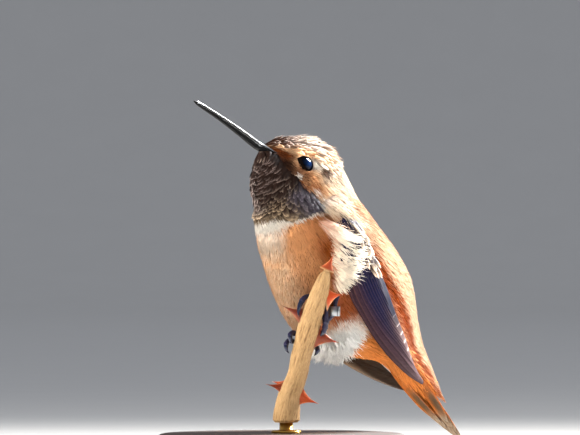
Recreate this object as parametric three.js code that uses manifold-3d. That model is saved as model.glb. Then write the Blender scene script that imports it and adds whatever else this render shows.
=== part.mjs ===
// A rufous hummingbird clinging to a short cut length of thorny stem, held on a low turned display stand.
// Millimetres, +Z up. The bird heads toward -X, its back is toward +X and its left side is toward -Y.
// The origin is the middle of the stand's underside.
import * as THREE from 'three';
import { mergeVertices } from 'three/addons/utils/BufferGeometryUtils.js';
import Module from 'manifold-3d';

const wasm = await Module();
wasm.setup();
const { Manifold, Mesh: SolidMesh } = wasm;

// ---- Driving dimensions -------------------------------------------------------------------------
const PARTING = 0.3;
const HALF_PARTING = PARTING / 2;

// Body, bill base to tail coverts: x, y, z, half width, radius toward the belly, radius toward the back.
const BODY = [
  [-3.1, 1.8, 63.3, 1.0, 0.9, 0.9],
  [-1.7, 1.5, 61.9, 3.5, 4.1, 4.3],
  [0.6, 1.0, 59.4, 5.6, 7.2, 7.6],
  [3.3, 0.5, 56.4, 7.0, 9.3, 9.2],
  [5.4, 0.1, 52.6, 8.0, 10.7, 9.4],
  [7.4, 0.0, 48.0, 9.4, 11.6, 10.4],
  [10.4, 0.0, 42.8, 10.4, 12.4, 11.6],
  [14.2, 0.0, 37.4, 10.9, 12.8, 12.4],
  [18.0, 0.0, 32.0, 10.4, 11.0, 12.4],
  [21.8, 0.0, 27.8, 8.6, 5.4, 10.6],
  [26.6, 0.0, 23.6, 5.2, 1.2, 7.5],
  [31.7, 0.0, 19.6, 4.0, 1.1, 3.9],
];
const BODY_STEPS = 30;
const BODY_SEGMENTS = 22;
const HEAD_END = 3.7;
const NECK_END = 5.2;
const TRUNK_END = 8.6;

// Eyes: station along the body, angle from the throat, ball radius, how far the ball stands out.
const EYE_STATION = 2.3;
const EYE_ANGLE = 104;
const EYE_RADIUS = 1.75;
const EYE_PROUD = 0.7;
const EYE_SEGMENTS = 16;

// Bill, gape to tip: x, y, z, half width, depth below the mouth line, depth above it.
const BILL = [
  [-2.2, 1.6, 62.35, 1.5, 0.5, 0.5],
  [-4.07, 2.0, 63.33, 1.2, 0.76, 0.84],
  [-5.68, 2.34, 64.47, 1.02, 0.76, 0.82],
  [-7.7, 2.77, 65.88, 0.85, 0.66, 0.7],
  [-11.72, 3.62, 68.51, 0.65, 0.5, 0.55],
  [-15.75, 4.48, 70.91, 0.5, 0.38, 0.42],
  [-16.86, 4.71, 71.56, 0.3, 0.24, 0.24],
];
const BILL_CLEARANCE = 0.15;
const MOUTH_GAP = 0.06;
const BILL_STEPS = 10;
const BILL_SEGMENTS = 12;

// Folded wing, wrist to tip: the leading edge x, y, z and then the trailing edge x, y, z.
const WING = [
  [4.7, -10.2, 48.9, 7.9, -10.7, 51.0],
  [5.5, -11.2, 41.9, 11.3, -12.1, 45.0],
  [8.1, -11.4, 34.8, 14.2, -12.5, 37.8],
  [11.9, -10.8, 29.5, 17.4, -11.9, 31.9],
  [17.3, -9.3, 24.8, 21.1, -10.3, 27.4],
  [23.5, -7.4, 21.0, 25.3, -7.9, 22.6],
  [29.2, -5.4, 18.5, 29.8, -5.6, 19.0],
];
const WING_CAMBER = 0.75;
const WING_THICKNESS = 0.75;
const WING_STEPS = 24;
const WING_COLUMNS = 4;
const WING_SPLIT = 0.3;
const SPLIT_STEP = 0.05;
const FEATHER_STEPS = 7;
const FEATHER_NOTCH = 0.06;
const CAMBER_CHORD = 4;
const FAR_WING_SHIFT = 1.4;
const FAR_WING_REACH = 3.4;
const FAR_WING_DROP = 0.9;
const FAR_WING_SAG = 1.6;

// Tail: blades from the middle pair outward as side offset, length left, drop below the middle pair.
const TAIL_ROOT = [32.0, 0, 19.3];
const TAIL_TIP = [42.6, 0, 8.7];
const TAIL_BLADES = [
  [0, 1, 0],
  [1.3, 0.9, 0.3],
  [2.4, 0.74, 0.6],
];
const BLADE_HALF_WIDTH = 1.75;
const BLADE_HALF_THICKNESS = 0.42;
const BLADE_STEPS = 10;
const BLADE_SEGMENTS = 8;
const BLADE_STATIONS = [0, 0.25, 0.5, 0.75, 0.92, 1];
const BLADE_ROUNDING = 0.3;
const BLADE_TIP_SHARE = 0.2;
const FAN_AT_ROOT = 0.9;
const FAN_BULGE = 0.25;
const FAN_CLOSING = 0.55;

// Thick root of the tail: share of the tail's length, half width, depth below, depth above.
const TAIL_TAPER = [
  [0, 3.8, 1.0, 2.8],
  [0.25, 3.4, 0.9, 1.4],
  [0.5, 2.3, 0.7, 0.5],
];
const TAPER_STEPS = 6;
const TAPER_SEGMENTS = 16;

// Stem, top to cut end: x, y, z, radius.
const STEM = [
  [1.73, -11.0, 40.4, 0.78],
  [1.72, -9.97, 38.35, 1.3],
  [1.68, -8.67, 35.39, 1.83],
  [1.28, -7.22, 31.88, 2.0],
  [1.2, -6.27, 29.29, 2.09],
  [1.14, -5.45, 26.88, 2.04],
  [1.04, -4.4, 24.48, 1.91],
  [1.2, -3.3, 21.52, 1.87],
  [0.97, -1.77, 18.56, 2.17],
  [0.74, -1.15, 16.89, 2.17],
  [0.66, -0.6, 14.2, 2.42],
  [0.6, -0.5, 12.2, 2.5],
];
const STEM_STEPS = 30;
const STEM_SEGMENTS = 14;
const STEM_RIGHT = -38;

// Prickles: height on the stem of the foot, half length of the foot, tip x, y, z.
const PRICKLES = [
  [39.9, 1.0, 2.43, -12.3, 43.3],
  [35.3, 2.0, 5.15, -11.64, 35.95],
  [31.3, 1.3, -3.52, -4.35, 33.91],
  [28.7, 2.0, 5.41, -10.32, 26.98],
  [18.3, 0.9, -3.51, 0.46, 19.3],
  [18.8, 0.7, -1.02, 1.55, 19.76],
  [17.6, 1.6, 4.66, -5.16, 15.63],
];
const PRICKLE_TIP = 0.27;
const PRICKLE_WIDTH = 0.62;
// Share of the way from foot to tip, and how much of the foot's size is left there.
const PRICKLE_PROFILE = [
  [0, 1.25],
  [0.28, 0.72],
  [0.62, 0.28],
  [1, 0],
];
const PRICKLE_FOOT_DEPTH = 0.45;
const PRICKLE_STEEP = 0.8;
const PRICKLE_STEPS = 6;
const PRICKLE_SEGMENTS = 8;

// Toes and claws as they wrap the stem: angle round the stem, height, distance off the bark, radius.
const LEFT_FRONT_TOE = [
  [-2, 31.0, 0.75, 0.46],
  [18, 33.0, 0.6, 0.42],
  [60, 34.8, 0.55, 0.42],
  [120, 35.6, 0.6, 0.42],
  [165, 35.3, 0.72, 0.48],
  [184, 34.1, 0.92, 0.46],
  [196, 32.7, 0.85, 0.38],
  [212, 31.7, 0.55, 0.28],
];
const LEFT_INNER_TOE = [
  [2, 30.8, 0.8, 0.44],
  [40, 31.9, 0.6, 0.42],
  [90, 32.6, 0.6, 0.36],
  [128, 31.9, 0.5, 0.28],
];
const LEFT_HIND_TOE = [
  [-8, 30.8, 0.9, 0.56],
  [-14, 29.8, 1.0, 0.52],
  [-20, 28.9, 0.95, 0.44],
  [-30, 28.2, 0.7, 0.3],
];
const LEFT_TOES = [LEFT_FRONT_TOE, LEFT_INNER_TOE, LEFT_HIND_TOE];
const RIGHT_FRONT_TOE = [
  [92, 27.6, 0.85, 0.44],
  [130, 28.4, 0.7, 0.44],
  [160, 28.8, 0.8, 0.48],
  [181, 28.5, 1.0, 0.46],
  [192, 27.4, 0.8, 0.38],
  [204, 26.7, 0.5, 0.28],
];
const RIGHT_OUTER_TOE = [
  [90, 27.0, 0.85, 0.44],
  [128, 27.0, 0.8, 0.44],
  [160, 27.4, 1.15, 0.48],
  [182, 26.8, 1.4, 0.46],
  [194, 25.7, 1.2, 0.38],
  [206, 25.0, 0.6, 0.28],
];
const RIGHT_HIND_TOE = [
  [88, 26.7, 0.9, 0.44],
  [45, 26.2, 0.8, 0.44],
  [16, 25.9, 0.75, 0.42],
  [2, 25.2, 0.75, 0.38],
  [-12, 24.5, 0.5, 0.28],
];
const RIGHT_TOES = [RIGHT_FRONT_TOE, RIGHT_OUTER_TOE, RIGHT_HIND_TOE];
const TOE_UP = [0.3, 0.1, 1];
const TOE_SEGMENTS = 7;
const TOE_STEPS_PER_ROW = 2;
const FOOT_CLEARANCE = 0.1;

// Legs, feathers toward the sole: x, y, z, radius.
const LEFT_LEG = [
  [5.7, -8.8, 34.8, 0.42],
  [5.5, -8.9, 33.4, 0.34],
  [5.2, -8.85, 32.2, 0.33],
];
const RIGHT_LEG = [
  [5.9, -0.6, 29.9, 0.42],
  [4.9, -1.2, 29.0, 0.36],
];
const LEG_STEPS = 9;
const LEG_SEGMENTS = 10;
const ANKLE_RADIUS = 0.36;
const SOLE_RADIUS = 0.62;
const SOLE_SEGMENTS = 12;
const BAND_HEIGHT = 1.8;
const BAND_RADIUS = 1.05;
const BAND_WALL = 0.3;
const BAND_SEAM = 0.15;
const BAND_SEAM_TURN = -98;
const BAND_STATION = 1.5;

// Stand: turned base as radius and height, and the rod that enters a bore in the stem's cut end.
const BASE_PROFILE = [
  [0, 0],
  [25.5, 0],
  [25.5, 2.6],
  [24.6, 3.4],
  [24.0, 4.4],
  [23.8, 8.6],
  [23.2, 9.7],
  [22, 10.2],
  [0, 10.2],
];
const BASE_TOP = 10.2;
const BASE_SEGMENTS = 40;
const ROD_AT = [0.6, -0.5];
const ROD_RADIUS = 1.25;
const ROD_TOP = 15.5;
const ROUND_SEGMENTS = 20;

const WELD = 1e-5;
const UP = new THREE.Vector3(0, 0, 1);
const RADIANS = Math.PI / 180;

// ---- Shared construction ------------------------------------------------------------------------

/** Row of numbers at a fractional station, on a smooth curve through every row. */
function stationAt(rows, station) {
  const last = rows.length - 1;
  const first = Math.min(Math.max(Math.floor(station), 0), last - 1);
  const f = station - first;
  const beyond = (a, b) => a.map((value, k) => 2 * value - b[k]);
  const before = first > 0 ? rows[first - 1] : beyond(rows[0], rows[1]);
  const after = first + 2 <= last ? rows[first + 2] : beyond(rows[last], rows[last - 1]);
  const p = rows[first];
  const q = rows[first + 1];
  return p.map((value, k) => {
    const linear = q[k] - before[k];
    const square = 2 * before[k] - 5 * value + 4 * q[k] - after[k];
    const cube = 3 * value - before[k] - 3 * q[k] + after[k];
    return 0.5 * (2 * value + linear * f + square * f * f + cube * f * f * f);
  });
}

/** Centre, tangent, sideways and downward directions of a path at a fractional station. */
function frameAt(rows, station, up = UP) {
  const last = rows.length - 1;
  const step = 0.01;
  const behind = stationAt(rows, Math.max(station - step, 0));
  const ahead = stationAt(rows, Math.min(station + step, last));
  const row = stationAt(rows, station);
  const start = new THREE.Vector3(...behind.slice(0, 3));
  const tangent = new THREE.Vector3(...ahead.slice(0, 3)).sub(start).normalize();
  const side = new THREE.Vector3().crossVectors(tangent, up).normalize();
  const down = new THREE.Vector3().crossVectors(tangent, side);
  return { row, centre: new THREE.Vector3(...row.slice(0, 3)), tangent, side, down };
}

/** Closed geometry as a solid that can be joined and cut, facing out whichever way it was wound. */
function asSolid(geometry) {
  const shell = geometry.clone();
  shell.deleteAttribute('normal');
  shell.deleteAttribute('uv');
  const merged = mergeVertices(shell, WELD);
  const vertProperties = merged.attributes.position.array;
  const make = (triVerts) => new Manifold(new SolidMesh({ numProp: 3, vertProperties, triVerts }));
  const order = new Uint32Array(merged.index.array);
  const solid = make(order);
  return solid.volume() > 0 ? solid : make(order.reverse());
}

/** Closes a stack of rings, each a list of points, with a fan at either end. */
function loft(rings) {
  const count = rings[0].length;
  const points = rings.flat();
  const faces = [];
  for (let i = 0; i + 1 < rings.length; i += 1) {
    for (let j = 0; j < count; j += 1) {
      const a = i * count + j;
      const b = i * count + ((j + 1) % count);
      faces.push(a, b, b + count, a, b + count, a + count);
    }
  }
  const total = (ring) => ring.reduce((sum, point) => sum.add(point), new THREE.Vector3());
  const middle = (ring) => total(ring).divideScalar(count);
  const end = (rings.length - 1) * count;
  points.push(middle(rings[0]), middle(rings[rings.length - 1]));
  for (let j = 0; j < count; j += 1) {
    const next = (j + 1) % count;
    faces.push(points.length - 2, next, j, points.length - 1, end + j, end + next);
  }
  const geometry = new THREE.BufferGeometry().setFromPoints(points);
  geometry.setIndex(faces);
  return asSolid(geometry);
}

/** Point on an oval section: rows are x, y, z, half width, depth below the path, depth above it. */
function sectionPoint(rows, station, angle, grow = 0, up = UP) {
  const { row, centre, side, down } = frameAt(rows, station, up);
  const depth = (Math.cos(angle) > 0 ? row[4] : row[5]) + grow;
  centre.addScaledVector(down, depth * Math.cos(angle));
  return centre.addScaledVector(side, (row[3] + grow) * Math.sin(angle));
}

/** Oval-section solid swept along a path of rows. */
function sweep(rows, steps, segments, grow = 0, up = UP) {
  const rings = Array.from({ length: steps + 1 }, (_, i) => {
    const station = (i / steps) * (rows.length - 1);
    return Array.from({ length: segments }, (__, j) => {
      return sectionPoint(rows, station, (j / segments) * 2 * Math.PI, grow, up);
    });
  });
  return loft(rings);
}

/** Round-section solid along rows of x, y, z, radius. */
function roundSweep(rows, steps, segments, grow = 0, up = UP) {
  return sweep(rows.map(([x, y, z, r]) => [x, y, z, r, r, r]), steps, segments, grow, up);
}

/** Ball round a point. */
function sphere(radius, [x, y, z], segments) {
  return asSolid(new THREE.SphereGeometry(radius, segments, segments / 2).translate(x, y, z));
}

/** Upright cylinder between two heights. */
function upright(radius, low, high, [x, y] = [0, 0]) {
  const geometry = new THREE.CylinderGeometry(radius, radius, high - low, ROUND_SEGMENTS);
  return asSolid(geometry.rotateX(Math.PI / 2).translate(x, y, (low + high) / 2));
}

/** The piece of a swept body between two stations, held back from each parting by half the gap. */
function between(solid, rows, from, to) {
  let piece = solid;
  if (from > 0) {
    const { centre, tangent } = frameAt(rows, from);
    piece = piece.trimByPlane(tangent.toArray(), centre.dot(tangent) + HALF_PARTING);
  }
  if (to < rows.length - 1) {
    const { centre, tangent } = frameAt(rows, to);
    piece = piece.trimByPlane(tangent.clone().negate().toArray(), -centre.dot(tangent) + HALF_PARTING);
  }
  return piece;
}

/** The biggest of a solid's separate bodies. */
function largest(solid) {
  return solid.decompose().reduce((best, next) => (next.volume() > best.volume() ? next : best));
}

// ---- Body and eyes ------------------------------------------------------------------------------

/** Eyeball on one side of the head; side is +1 for the left and -1 for the right. */
function eyeball(side, grow = 0) {
  const angle = EYE_ANGLE * RADIANS * side;
  const surface = sectionPoint(BODY, EYE_STATION, angle);
  const inner = sectionPoint(BODY, EYE_STATION, angle, -1);
  const inward = inner.sub(surface).normalize();
  const centre = surface.addScaledVector(inward, EYE_RADIUS - EYE_PROUD);
  return sphere(EYE_RADIUS + grow, centre.toArray(), EYE_SEGMENTS);
}

const body = sweep(BODY, BODY_STEPS, BODY_SEGMENTS);
const bodyClearance = sweep(BODY, BODY_STEPS, BODY_SEGMENTS, PARTING);
const eyes = { left: eyeball(1), right: eyeball(-1) };
const sockets = Manifold.union(eyeball(1, PARTING), eyeball(-1, PARTING));
const billClearance = sweep(BILL, BILL_STEPS, BILL_SEGMENTS, BILL_CLEARANCE);
const head = largest(between(body, BODY, 0, HEAD_END).subtract(sockets).subtract(billClearance));
const neck = between(body, BODY, HEAD_END, NECK_END);
const trunk = between(body, BODY, NECK_END, TRUNK_END);
const rump = between(body, BODY, TRUNK_END, BODY.length - 1);

// ---- Bill ---------------------------------------------------------------------------------------

/** Upper or lower half of the bill: the sweep cut by the surface through the mouth line. */
function billHalf(upper) {
  const rows = BILL.map(([x, y, z, half, below, above]) => {
    return upper ? [x, y, z, half, -MOUTH_GAP / 2, above] : [x, y, z, half, below, -MOUTH_GAP / 2];
  });
  return sweep(rows, BILL_STEPS, BILL_SEGMENTS);
}

// ---- Wings --------------------------------------------------------------------------------------

/** Outer surface of the near wing: u runs wrist to tip, v leading to trailing edge. */
function wingPoint(u, v, depth) {
  const at = (w) => stationAt(WING, w * (WING.length - 1));
  const row = at(u);
  const step = 0.01;
  const ahead = at(Math.min(u + step, 1));
  const behind = at(Math.max(u - step, 0));
  const leading = new THREE.Vector3(...row.slice(0, 3));
  const across = new THREE.Vector3(...row.slice(3)).sub(leading);
  const along = new THREE.Vector3(...ahead.slice(0, 3)).sub(new THREE.Vector3(...behind.slice(0, 3)));
  const outward = new THREE.Vector3().crossVectors(along, across).normalize();
  const notch = 1 - FEATHER_NOTCH * Math.abs(Math.sin(FEATHER_STEPS * Math.PI * u)) * Math.min(1, 3 * u);
  const rise = WING_CAMBER * 4 * v * (1 - v) * Math.min(1, across.length() / CAMBER_CHORD);
  return leading.addScaledVector(across, v * notch).addScaledVector(outward, rise - depth);
}

/** Carries a point of the near wing to the far side, its tip further along the tail and its middle lower. */
function farSide(point) {
  const wristX = WING[0][0];
  const reach = WING[WING.length - 1][0] - wristX;
  const along = THREE.MathUtils.clamp((point.x - wristX) / reach, 0, 1);
  const x = point.x + FAR_WING_SHIFT + FAR_WING_REACH * along * along;
  const fall = FAR_WING_DROP * 4 * along * (1 - along) + FAR_WING_SAG * along ** 3;
  return new THREE.Vector3(x, -point.y, point.z - fall);
}

/** Thin cambered plate of a folded wing. */
function wingPlate(place = (point) => point) {
  const columns = Array.from({ length: WING_COLUMNS + 1 }, (_, j) => j / WING_COLUMNS);
  const rings = Array.from({ length: WING_STEPS + 1 }, (_, i) => {
    const u = i / WING_STEPS;
    const outer = columns.map((v) => place(wingPoint(u, v, 0)));
    const inner = columns.map((v) => place(wingPoint(u, 1 - v, WING_THICKNESS)));
    return [...outer, ...inner];
  });
  return loft(rings);
}

/** Cuts a wing across at the wrist bend into its upper and lower parts. */
function wingParts(plate) {
  const cut = wingPoint(WING_SPLIT, 0.5, 0);
  const ahead = wingPoint(WING_SPLIT + SPLIT_STEP, 0.5, 0).sub(cut).setY(0).normalize();
  const offset = cut.dot(ahead);
  return {
    arm: plate.trimByPlane(ahead.clone().negate().toArray(), -offset + HALF_PARTING),
    hand: plate.trimByPlane(ahead.toArray(), offset + HALF_PARTING),
  };
}

const leftWing = wingParts(wingPlate().subtract(bodyClearance));
const rightWing = wingParts(wingPlate(farSide).subtract(bodyClearance));

// ---- Tail ---------------------------------------------------------------------------------------

/** One tail feather as a flat blade, set off to the side and lowered under the middle pair. */
function tailBlade(side, length, drop) {
  const root = new THREE.Vector3(...TAIL_ROOT);
  const run = new THREE.Vector3(...TAIL_TIP).sub(root);
  const under = new THREE.Vector3(-run.z, 0, run.x).normalize();
  if (under.z > 0) under.negate();
  const rounded = 1 - BLADE_ROUNDING;
  const rows = BLADE_STATIONS.map((t) => {
    const point = root.clone().addScaledVector(run, t * length).addScaledVector(under, drop);
    const y = side * (FAN_AT_ROOT + FAN_BULGE * Math.sin(Math.PI * t) - FAN_CLOSING * t * t);
    const taper = t < rounded ? 1 : Math.max(BLADE_TIP_SHARE, 1 - ((t - rounded) / BLADE_ROUNDING) ** 2);
    return [point.x, y, point.z, BLADE_HALF_WIDTH * taper, BLADE_HALF_THICKNESS, BLADE_HALF_THICKNESS];
  });
  return sweep(rows, BLADE_STEPS, BLADE_SEGMENTS);
}

/** The tail: five fused blades and the thick root under the coverts. */
function tailSolid() {
  const blades = TAIL_BLADES.flatMap(([side, length, drop]) => {
    const sides = side === 0 ? [0] : [side, -side];
    return sides.map((offset) => tailBlade(offset, length, drop));
  });
  const root = new THREE.Vector3(...TAIL_ROOT);
  const tip = new THREE.Vector3(...TAIL_TIP);
  const taper = TAIL_TAPER.map(([t, half, below, above]) => {
    const point = root.clone().lerp(tip, t);
    return [point.x, point.y, point.z, half, below, above];
  });
  const { centre, tangent } = frameAt(BODY, BODY.length - 1);
  return Manifold.union([sweep(taper, TAPER_STEPS, TAPER_SEGMENTS), ...blades])
    .trimByPlane(tangent.toArray(), centre.dot(tangent) + PARTING);
}

// ---- Stem and prickles --------------------------------------------------------------------------

/** Centre and radius of the stem at a height. */
function stemAt(height) {
  const upper = Math.max(STEM.findIndex((row) => row[2] <= height), 1);
  const a = STEM[upper - 1];
  const b = STEM[upper];
  const t = (height - a[2]) / (b[2] - a[2]);
  return a.map((value, k) => value + (b[k] - value) * t);
}

/** Curved prickle: a long narrow foot inside the bark tapering to its tip. */
function prickle([height, halfFoot, x, y, z]) {
  const [cx, cy, cz, radius] = stemAt(height);
  const foot = new THREE.Vector3(cx, cy, cz);
  const tip = new THREE.Vector3(x, y, z);
  const run = tip.clone().sub(foot);
  const start = PRICKLE_FOOT_DEPTH * radius / run.length();
  const rows = PRICKLE_PROFILE.map(([t, scale]) => {
    const point = foot.clone().addScaledVector(run, start + t * (1 - start));
    return [point.x, point.y, point.z, PRICKLE_TIP + (PRICKLE_WIDTH - PRICKLE_TIP) * scale,
      PRICKLE_TIP + halfFoot * scale, PRICKLE_TIP + halfFoot * scale];
  });
  const steep = Math.abs(run.z) > PRICKLE_STEEP * run.length();
  return sweep(rows, PRICKLE_STEPS, PRICKLE_SEGMENTS, 0, steep ? new THREE.Vector3(1, 0, 0) : UP);
}

const across = new THREE.Vector3(Math.cos(STEM_RIGHT * RADIANS), Math.sin(STEM_RIGHT * RADIANS), 0);
const bore = upright(ROD_RADIUS + PARTING, 0, ROD_TOP + PARTING, ROD_AT);
const bareStem = roundSweep(STEM, STEM_STEPS, STEM_SEGMENTS, 0, across);
const stem = Manifold.union([bareStem, ...PRICKLES.map(prickle)]).subtract(bore);
const stemClearance = Manifold.union([
  roundSweep(STEM, STEM_STEPS, STEM_SEGMENTS, FOOT_CLEARANCE, across),
  ...PRICKLES.map(prickle),
]);

// ---- Feet and legs ------------------------------------------------------------------------------

/** Point beside the stem: angle round it from its right-hand side, height, distance off the bark. */
function besideStem(angle, height, off) {
  const [x, y, , radius] = stemAt(height);
  const turn = (STEM_RIGHT + angle) * RADIANS;
  return [x + (radius + off) * Math.cos(turn), y + (radius + off) * Math.sin(turn), height];
}

/** Middle of a foot's sole, where its toes start. */
function soleOf([[[angle, height, off]]]) {
  return besideStem(angle, height - 0.2, off + 0.1);
}

/** Ball of the sole, enlarged by a gap. */
function ball(toes, gap) {
  return sphere(SOLE_RADIUS + gap, soleOf(toes), SOLE_SEGMENTS);
}

/** One foot: its toes with their claws, joined at the sole. */
function foot(toes) {
  const parts = toes.map((toe) => {
    const rows = toe.map(([angle, height, off, radius]) => [...besideStem(angle, height, off), radius]);
    const steps = TOE_STEPS_PER_ROW * (rows.length - 1);
    return roundSweep(rows, steps, TOE_SEGMENTS, 0, new THREE.Vector3(...TOE_UP));
  });
  return Manifold.union([ball(toes, 0), ...parts]).subtract(stemClearance).subtract(bodyClearance);
}

/** Leg from the belly feathers to just short of the sole. */
function leg(rows, toes) {
  const path = [...rows, [...soleOf(toes), ANKLE_RADIUS]];
  return roundSweep(path, LEG_STEPS, LEG_SEGMENTS).subtract(bodyClearance).subtract(ball(toes, PARTING));
}

/** Plain open-seamed band round the left leg. */
function legBand() {
  const { centre: { x, y, z } } = frameAt(LEFT_LEG, BAND_STATION);
  const half = BAND_HEIGHT / 2;
  const ring = upright(BAND_RADIUS, z - half, z + half, [x, y])
    .subtract(upright(BAND_RADIUS - BAND_WALL, z - BAND_HEIGHT, z + BAND_HEIGHT, [x, y]));
  const slot = new THREE.BoxGeometry(BAND_RADIUS, BAND_SEAM, 2 * BAND_HEIGHT)
    .translate(BAND_RADIUS, 0, 0)
    .rotateZ(BAND_SEAM_TURN * RADIANS)
    .translate(x, y, z);
  return ring.subtract(asSolid(slot));
}

const leftFoot = foot(LEFT_TOES);
const rightFoot = foot(RIGHT_TOES);
const leftLeg = leg(LEFT_LEG, LEFT_TOES);
const rightLeg = leg(RIGHT_LEG, RIGHT_TOES);

// ---- Stand --------------------------------------------------------------------------------------

/** Turned base from its half profile. */
function standBase() {
  const profile = BASE_PROFILE.map(([radius, height]) => new THREE.Vector2(radius, height));
  return asSolid(new THREE.LatheGeometry(profile, BASE_SEGMENTS).rotateX(Math.PI / 2));
}

const rod = upright(ROD_RADIUS, BASE_TOP + PARTING, ROD_TOP, ROD_AT);

// ---- Assembly -----------------------------------------------------------------------------------

const group = new THREE.Group();
group.name = 'hummingbird';

/** Adds one solid to the group as a named mesh with its own material. */
function add(name, solid, color, roughness = 0.8, metalness = 0) {
  const { vertProperties, triVerts } = solid.getMesh();
  const geometry = new THREE.BufferGeometry();
  geometry.setAttribute('position', new THREE.BufferAttribute(new Float32Array(vertProperties), 3));
  geometry.setIndex(new THREE.BufferAttribute(new Uint32Array(triVerts), 1));
  geometry.computeVertexNormals();
  const material = new THREE.MeshStandardMaterial({ color, roughness, metalness });
  material.name = `${name}_material`;
  const mesh = new THREE.Mesh(geometry, material);
  mesh.name = name;
  group.add(mesh);
}

add('head', head, 0x6e5a44);
add('neck', neck, 0x8d6a4c);
add('trunk', trunk, 0xc98f62);
add('rump', rump, 0xc8823f);
add('tail', tailSolid(), 0xb86a2c);
add('bill_upper', billHalf(true), 0x17161a, 0.35);
add('bill_lower', billHalf(false), 0x17161a, 0.35);
add('eye_left', eyes.left, 0x120c0a, 0.1);
add('eye_right', eyes.right, 0x120c0a, 0.1);
add('wing_left_arm', leftWing.arm, 0x4a4038);
add('wing_left_hand', leftWing.hand, 0x2a2640);
add('wing_right_arm', rightWing.arm, 0x4a4038);
add('wing_right_hand', rightWing.hand, 0x2a2640);
add('leg_left', leftLeg, 0x2b2026, 0.6);
add('leg_right', rightLeg, 0x2b2026, 0.6);
add('foot_left', leftFoot, 0x1d1a2c, 0.45);
add('foot_right', rightFoot, 0x1d1a2c, 0.45);
add('leg_band', legBand(), 0xc9ccd0, 0.35, 1);
add('perch_stem', stem, 0xd8b27c);
add('stand_base', standBase(), 0x5a3a26, 0.5);
add('stand_rod', rod, 0xb08d4a, 0.35, 1);

export default group;
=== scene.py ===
import math

import bpy
import numpy as np
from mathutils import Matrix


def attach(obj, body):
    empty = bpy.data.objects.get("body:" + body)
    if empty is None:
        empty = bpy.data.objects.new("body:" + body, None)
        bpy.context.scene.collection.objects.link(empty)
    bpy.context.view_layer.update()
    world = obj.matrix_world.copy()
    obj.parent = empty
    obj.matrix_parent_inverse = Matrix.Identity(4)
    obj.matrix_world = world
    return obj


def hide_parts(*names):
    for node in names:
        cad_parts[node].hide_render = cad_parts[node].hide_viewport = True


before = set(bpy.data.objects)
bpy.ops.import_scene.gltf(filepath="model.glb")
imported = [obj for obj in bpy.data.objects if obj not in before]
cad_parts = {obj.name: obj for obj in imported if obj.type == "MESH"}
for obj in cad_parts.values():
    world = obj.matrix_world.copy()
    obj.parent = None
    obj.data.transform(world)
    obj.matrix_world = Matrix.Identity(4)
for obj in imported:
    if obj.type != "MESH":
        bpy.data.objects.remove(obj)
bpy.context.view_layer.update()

bl_info = {
    "name": "Hummingbird on a stem",
    "version": (1, 0, 0),
    "blender": (4, 5, 0),
    "location": "3D View > Sidebar > Hummingbird",
    "description": "Builds the plumage, bill, eyes, feet, perch and stand of a life-size hummingbird",
    "category": "Object",
}

# ---- Sizes, in millimetres in the model's frame ------------------------------

MM = 0.001

# Body, bill base to tail coverts: x, y, z, half width, depth toward the belly, depth toward the back.
BODY = np.array([
    [-3.1, 1.8, 63.3, 1.0, 0.9, 0.9],
    [-1.7, 1.5, 61.9, 3.5, 4.1, 4.3],
    [0.6, 1.0, 59.4, 5.6, 7.2, 7.6],
    [3.3, 0.5, 56.4, 7.0, 9.3, 9.2],
    [5.4, 0.1, 52.6, 8.0, 10.7, 9.4],
    [7.4, 0.0, 48.0, 9.4, 11.6, 10.4],
    [10.4, 0.0, 42.8, 10.4, 12.4, 11.6],
    [14.2, 0.0, 37.4, 10.9, 12.8, 12.4],
    [18.0, 0.0, 32.0, 10.4, 11.0, 12.4],
    [21.8, 0.0, 27.8, 8.6, 5.4, 10.6],
    [26.6, 0.0, 23.6, 5.2, 1.2, 7.5],
    [31.7, 0.0, 19.6, 4.0, 1.1, 3.9],
    [36.4, 0.0, 15.0, 3.2, 0.6, 1.0],
])
BODY_END = len(BODY) - 1
SKIN_END = 11.1

EYE_STATION = 2.3
EYE_ANGLE = math.radians(104)
EYE_RADIUS = 1.75
EYE_PROUD = 0.7
EYE_CLEAR = 1.1
LID_OPENING = (1.34, 0.84)
LID_RIM = 1.12

# Bill, gape to tip: x, y, z, half width, depth below the mouth line, depth above it.
BILL = np.array([
    [-1.6, 1.45, 61.95, 3.35, 0.1, 0.12],
    [-2.8, 1.72, 62.66, 2.25, 0.5, 0.55],
    [-4.07, 2.0, 63.33, 1.3, 0.76, 0.84],
    [-5.68, 2.34, 64.47, 1.02, 0.76, 0.82],
    [-7.7, 2.77, 65.88, 0.85, 0.66, 0.7],
    [-11.72, 3.62, 68.51, 0.65, 0.5, 0.55],
    [-15.75, 4.48, 70.91, 0.48, 0.36, 0.4],
    [-16.86, 4.71, 71.56, 0.16, 0.1, 0.12],
])

# Folded left wing, wrist to tip: leading edge x, y, z and trailing edge x, y, z.
WING = np.array([
    [4.7, -10.2, 48.9, 7.9, -10.7, 51.0],
    [5.5, -11.2, 41.9, 11.3, -12.1, 45.0],
    [8.1, -11.4, 34.8, 14.2, -12.5, 37.8],
    [11.9, -10.8, 29.5, 17.4, -11.9, 31.9],
    [17.3, -9.3, 24.8, 21.1, -10.3, 27.4],
    [23.5, -7.4, 21.0, 25.3, -7.9, 22.6],
    [29.2, -5.4, 18.5, 29.8, -5.6, 19.0],
])
WING_CAMBER = 0.75
FAR_WING_SHIFT = 1.4
FAR_WING_REACH = 3.4
FAR_WING_DROP = 0.9
FAR_WING_SAG = 1.6

# Tail, root to tip along its middle: x, y, z.
TAIL_ROOT = np.array([27.0, 0.0, 24.0])
TAIL_TIP = np.array([42.8, 0.0, 8.5])

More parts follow.
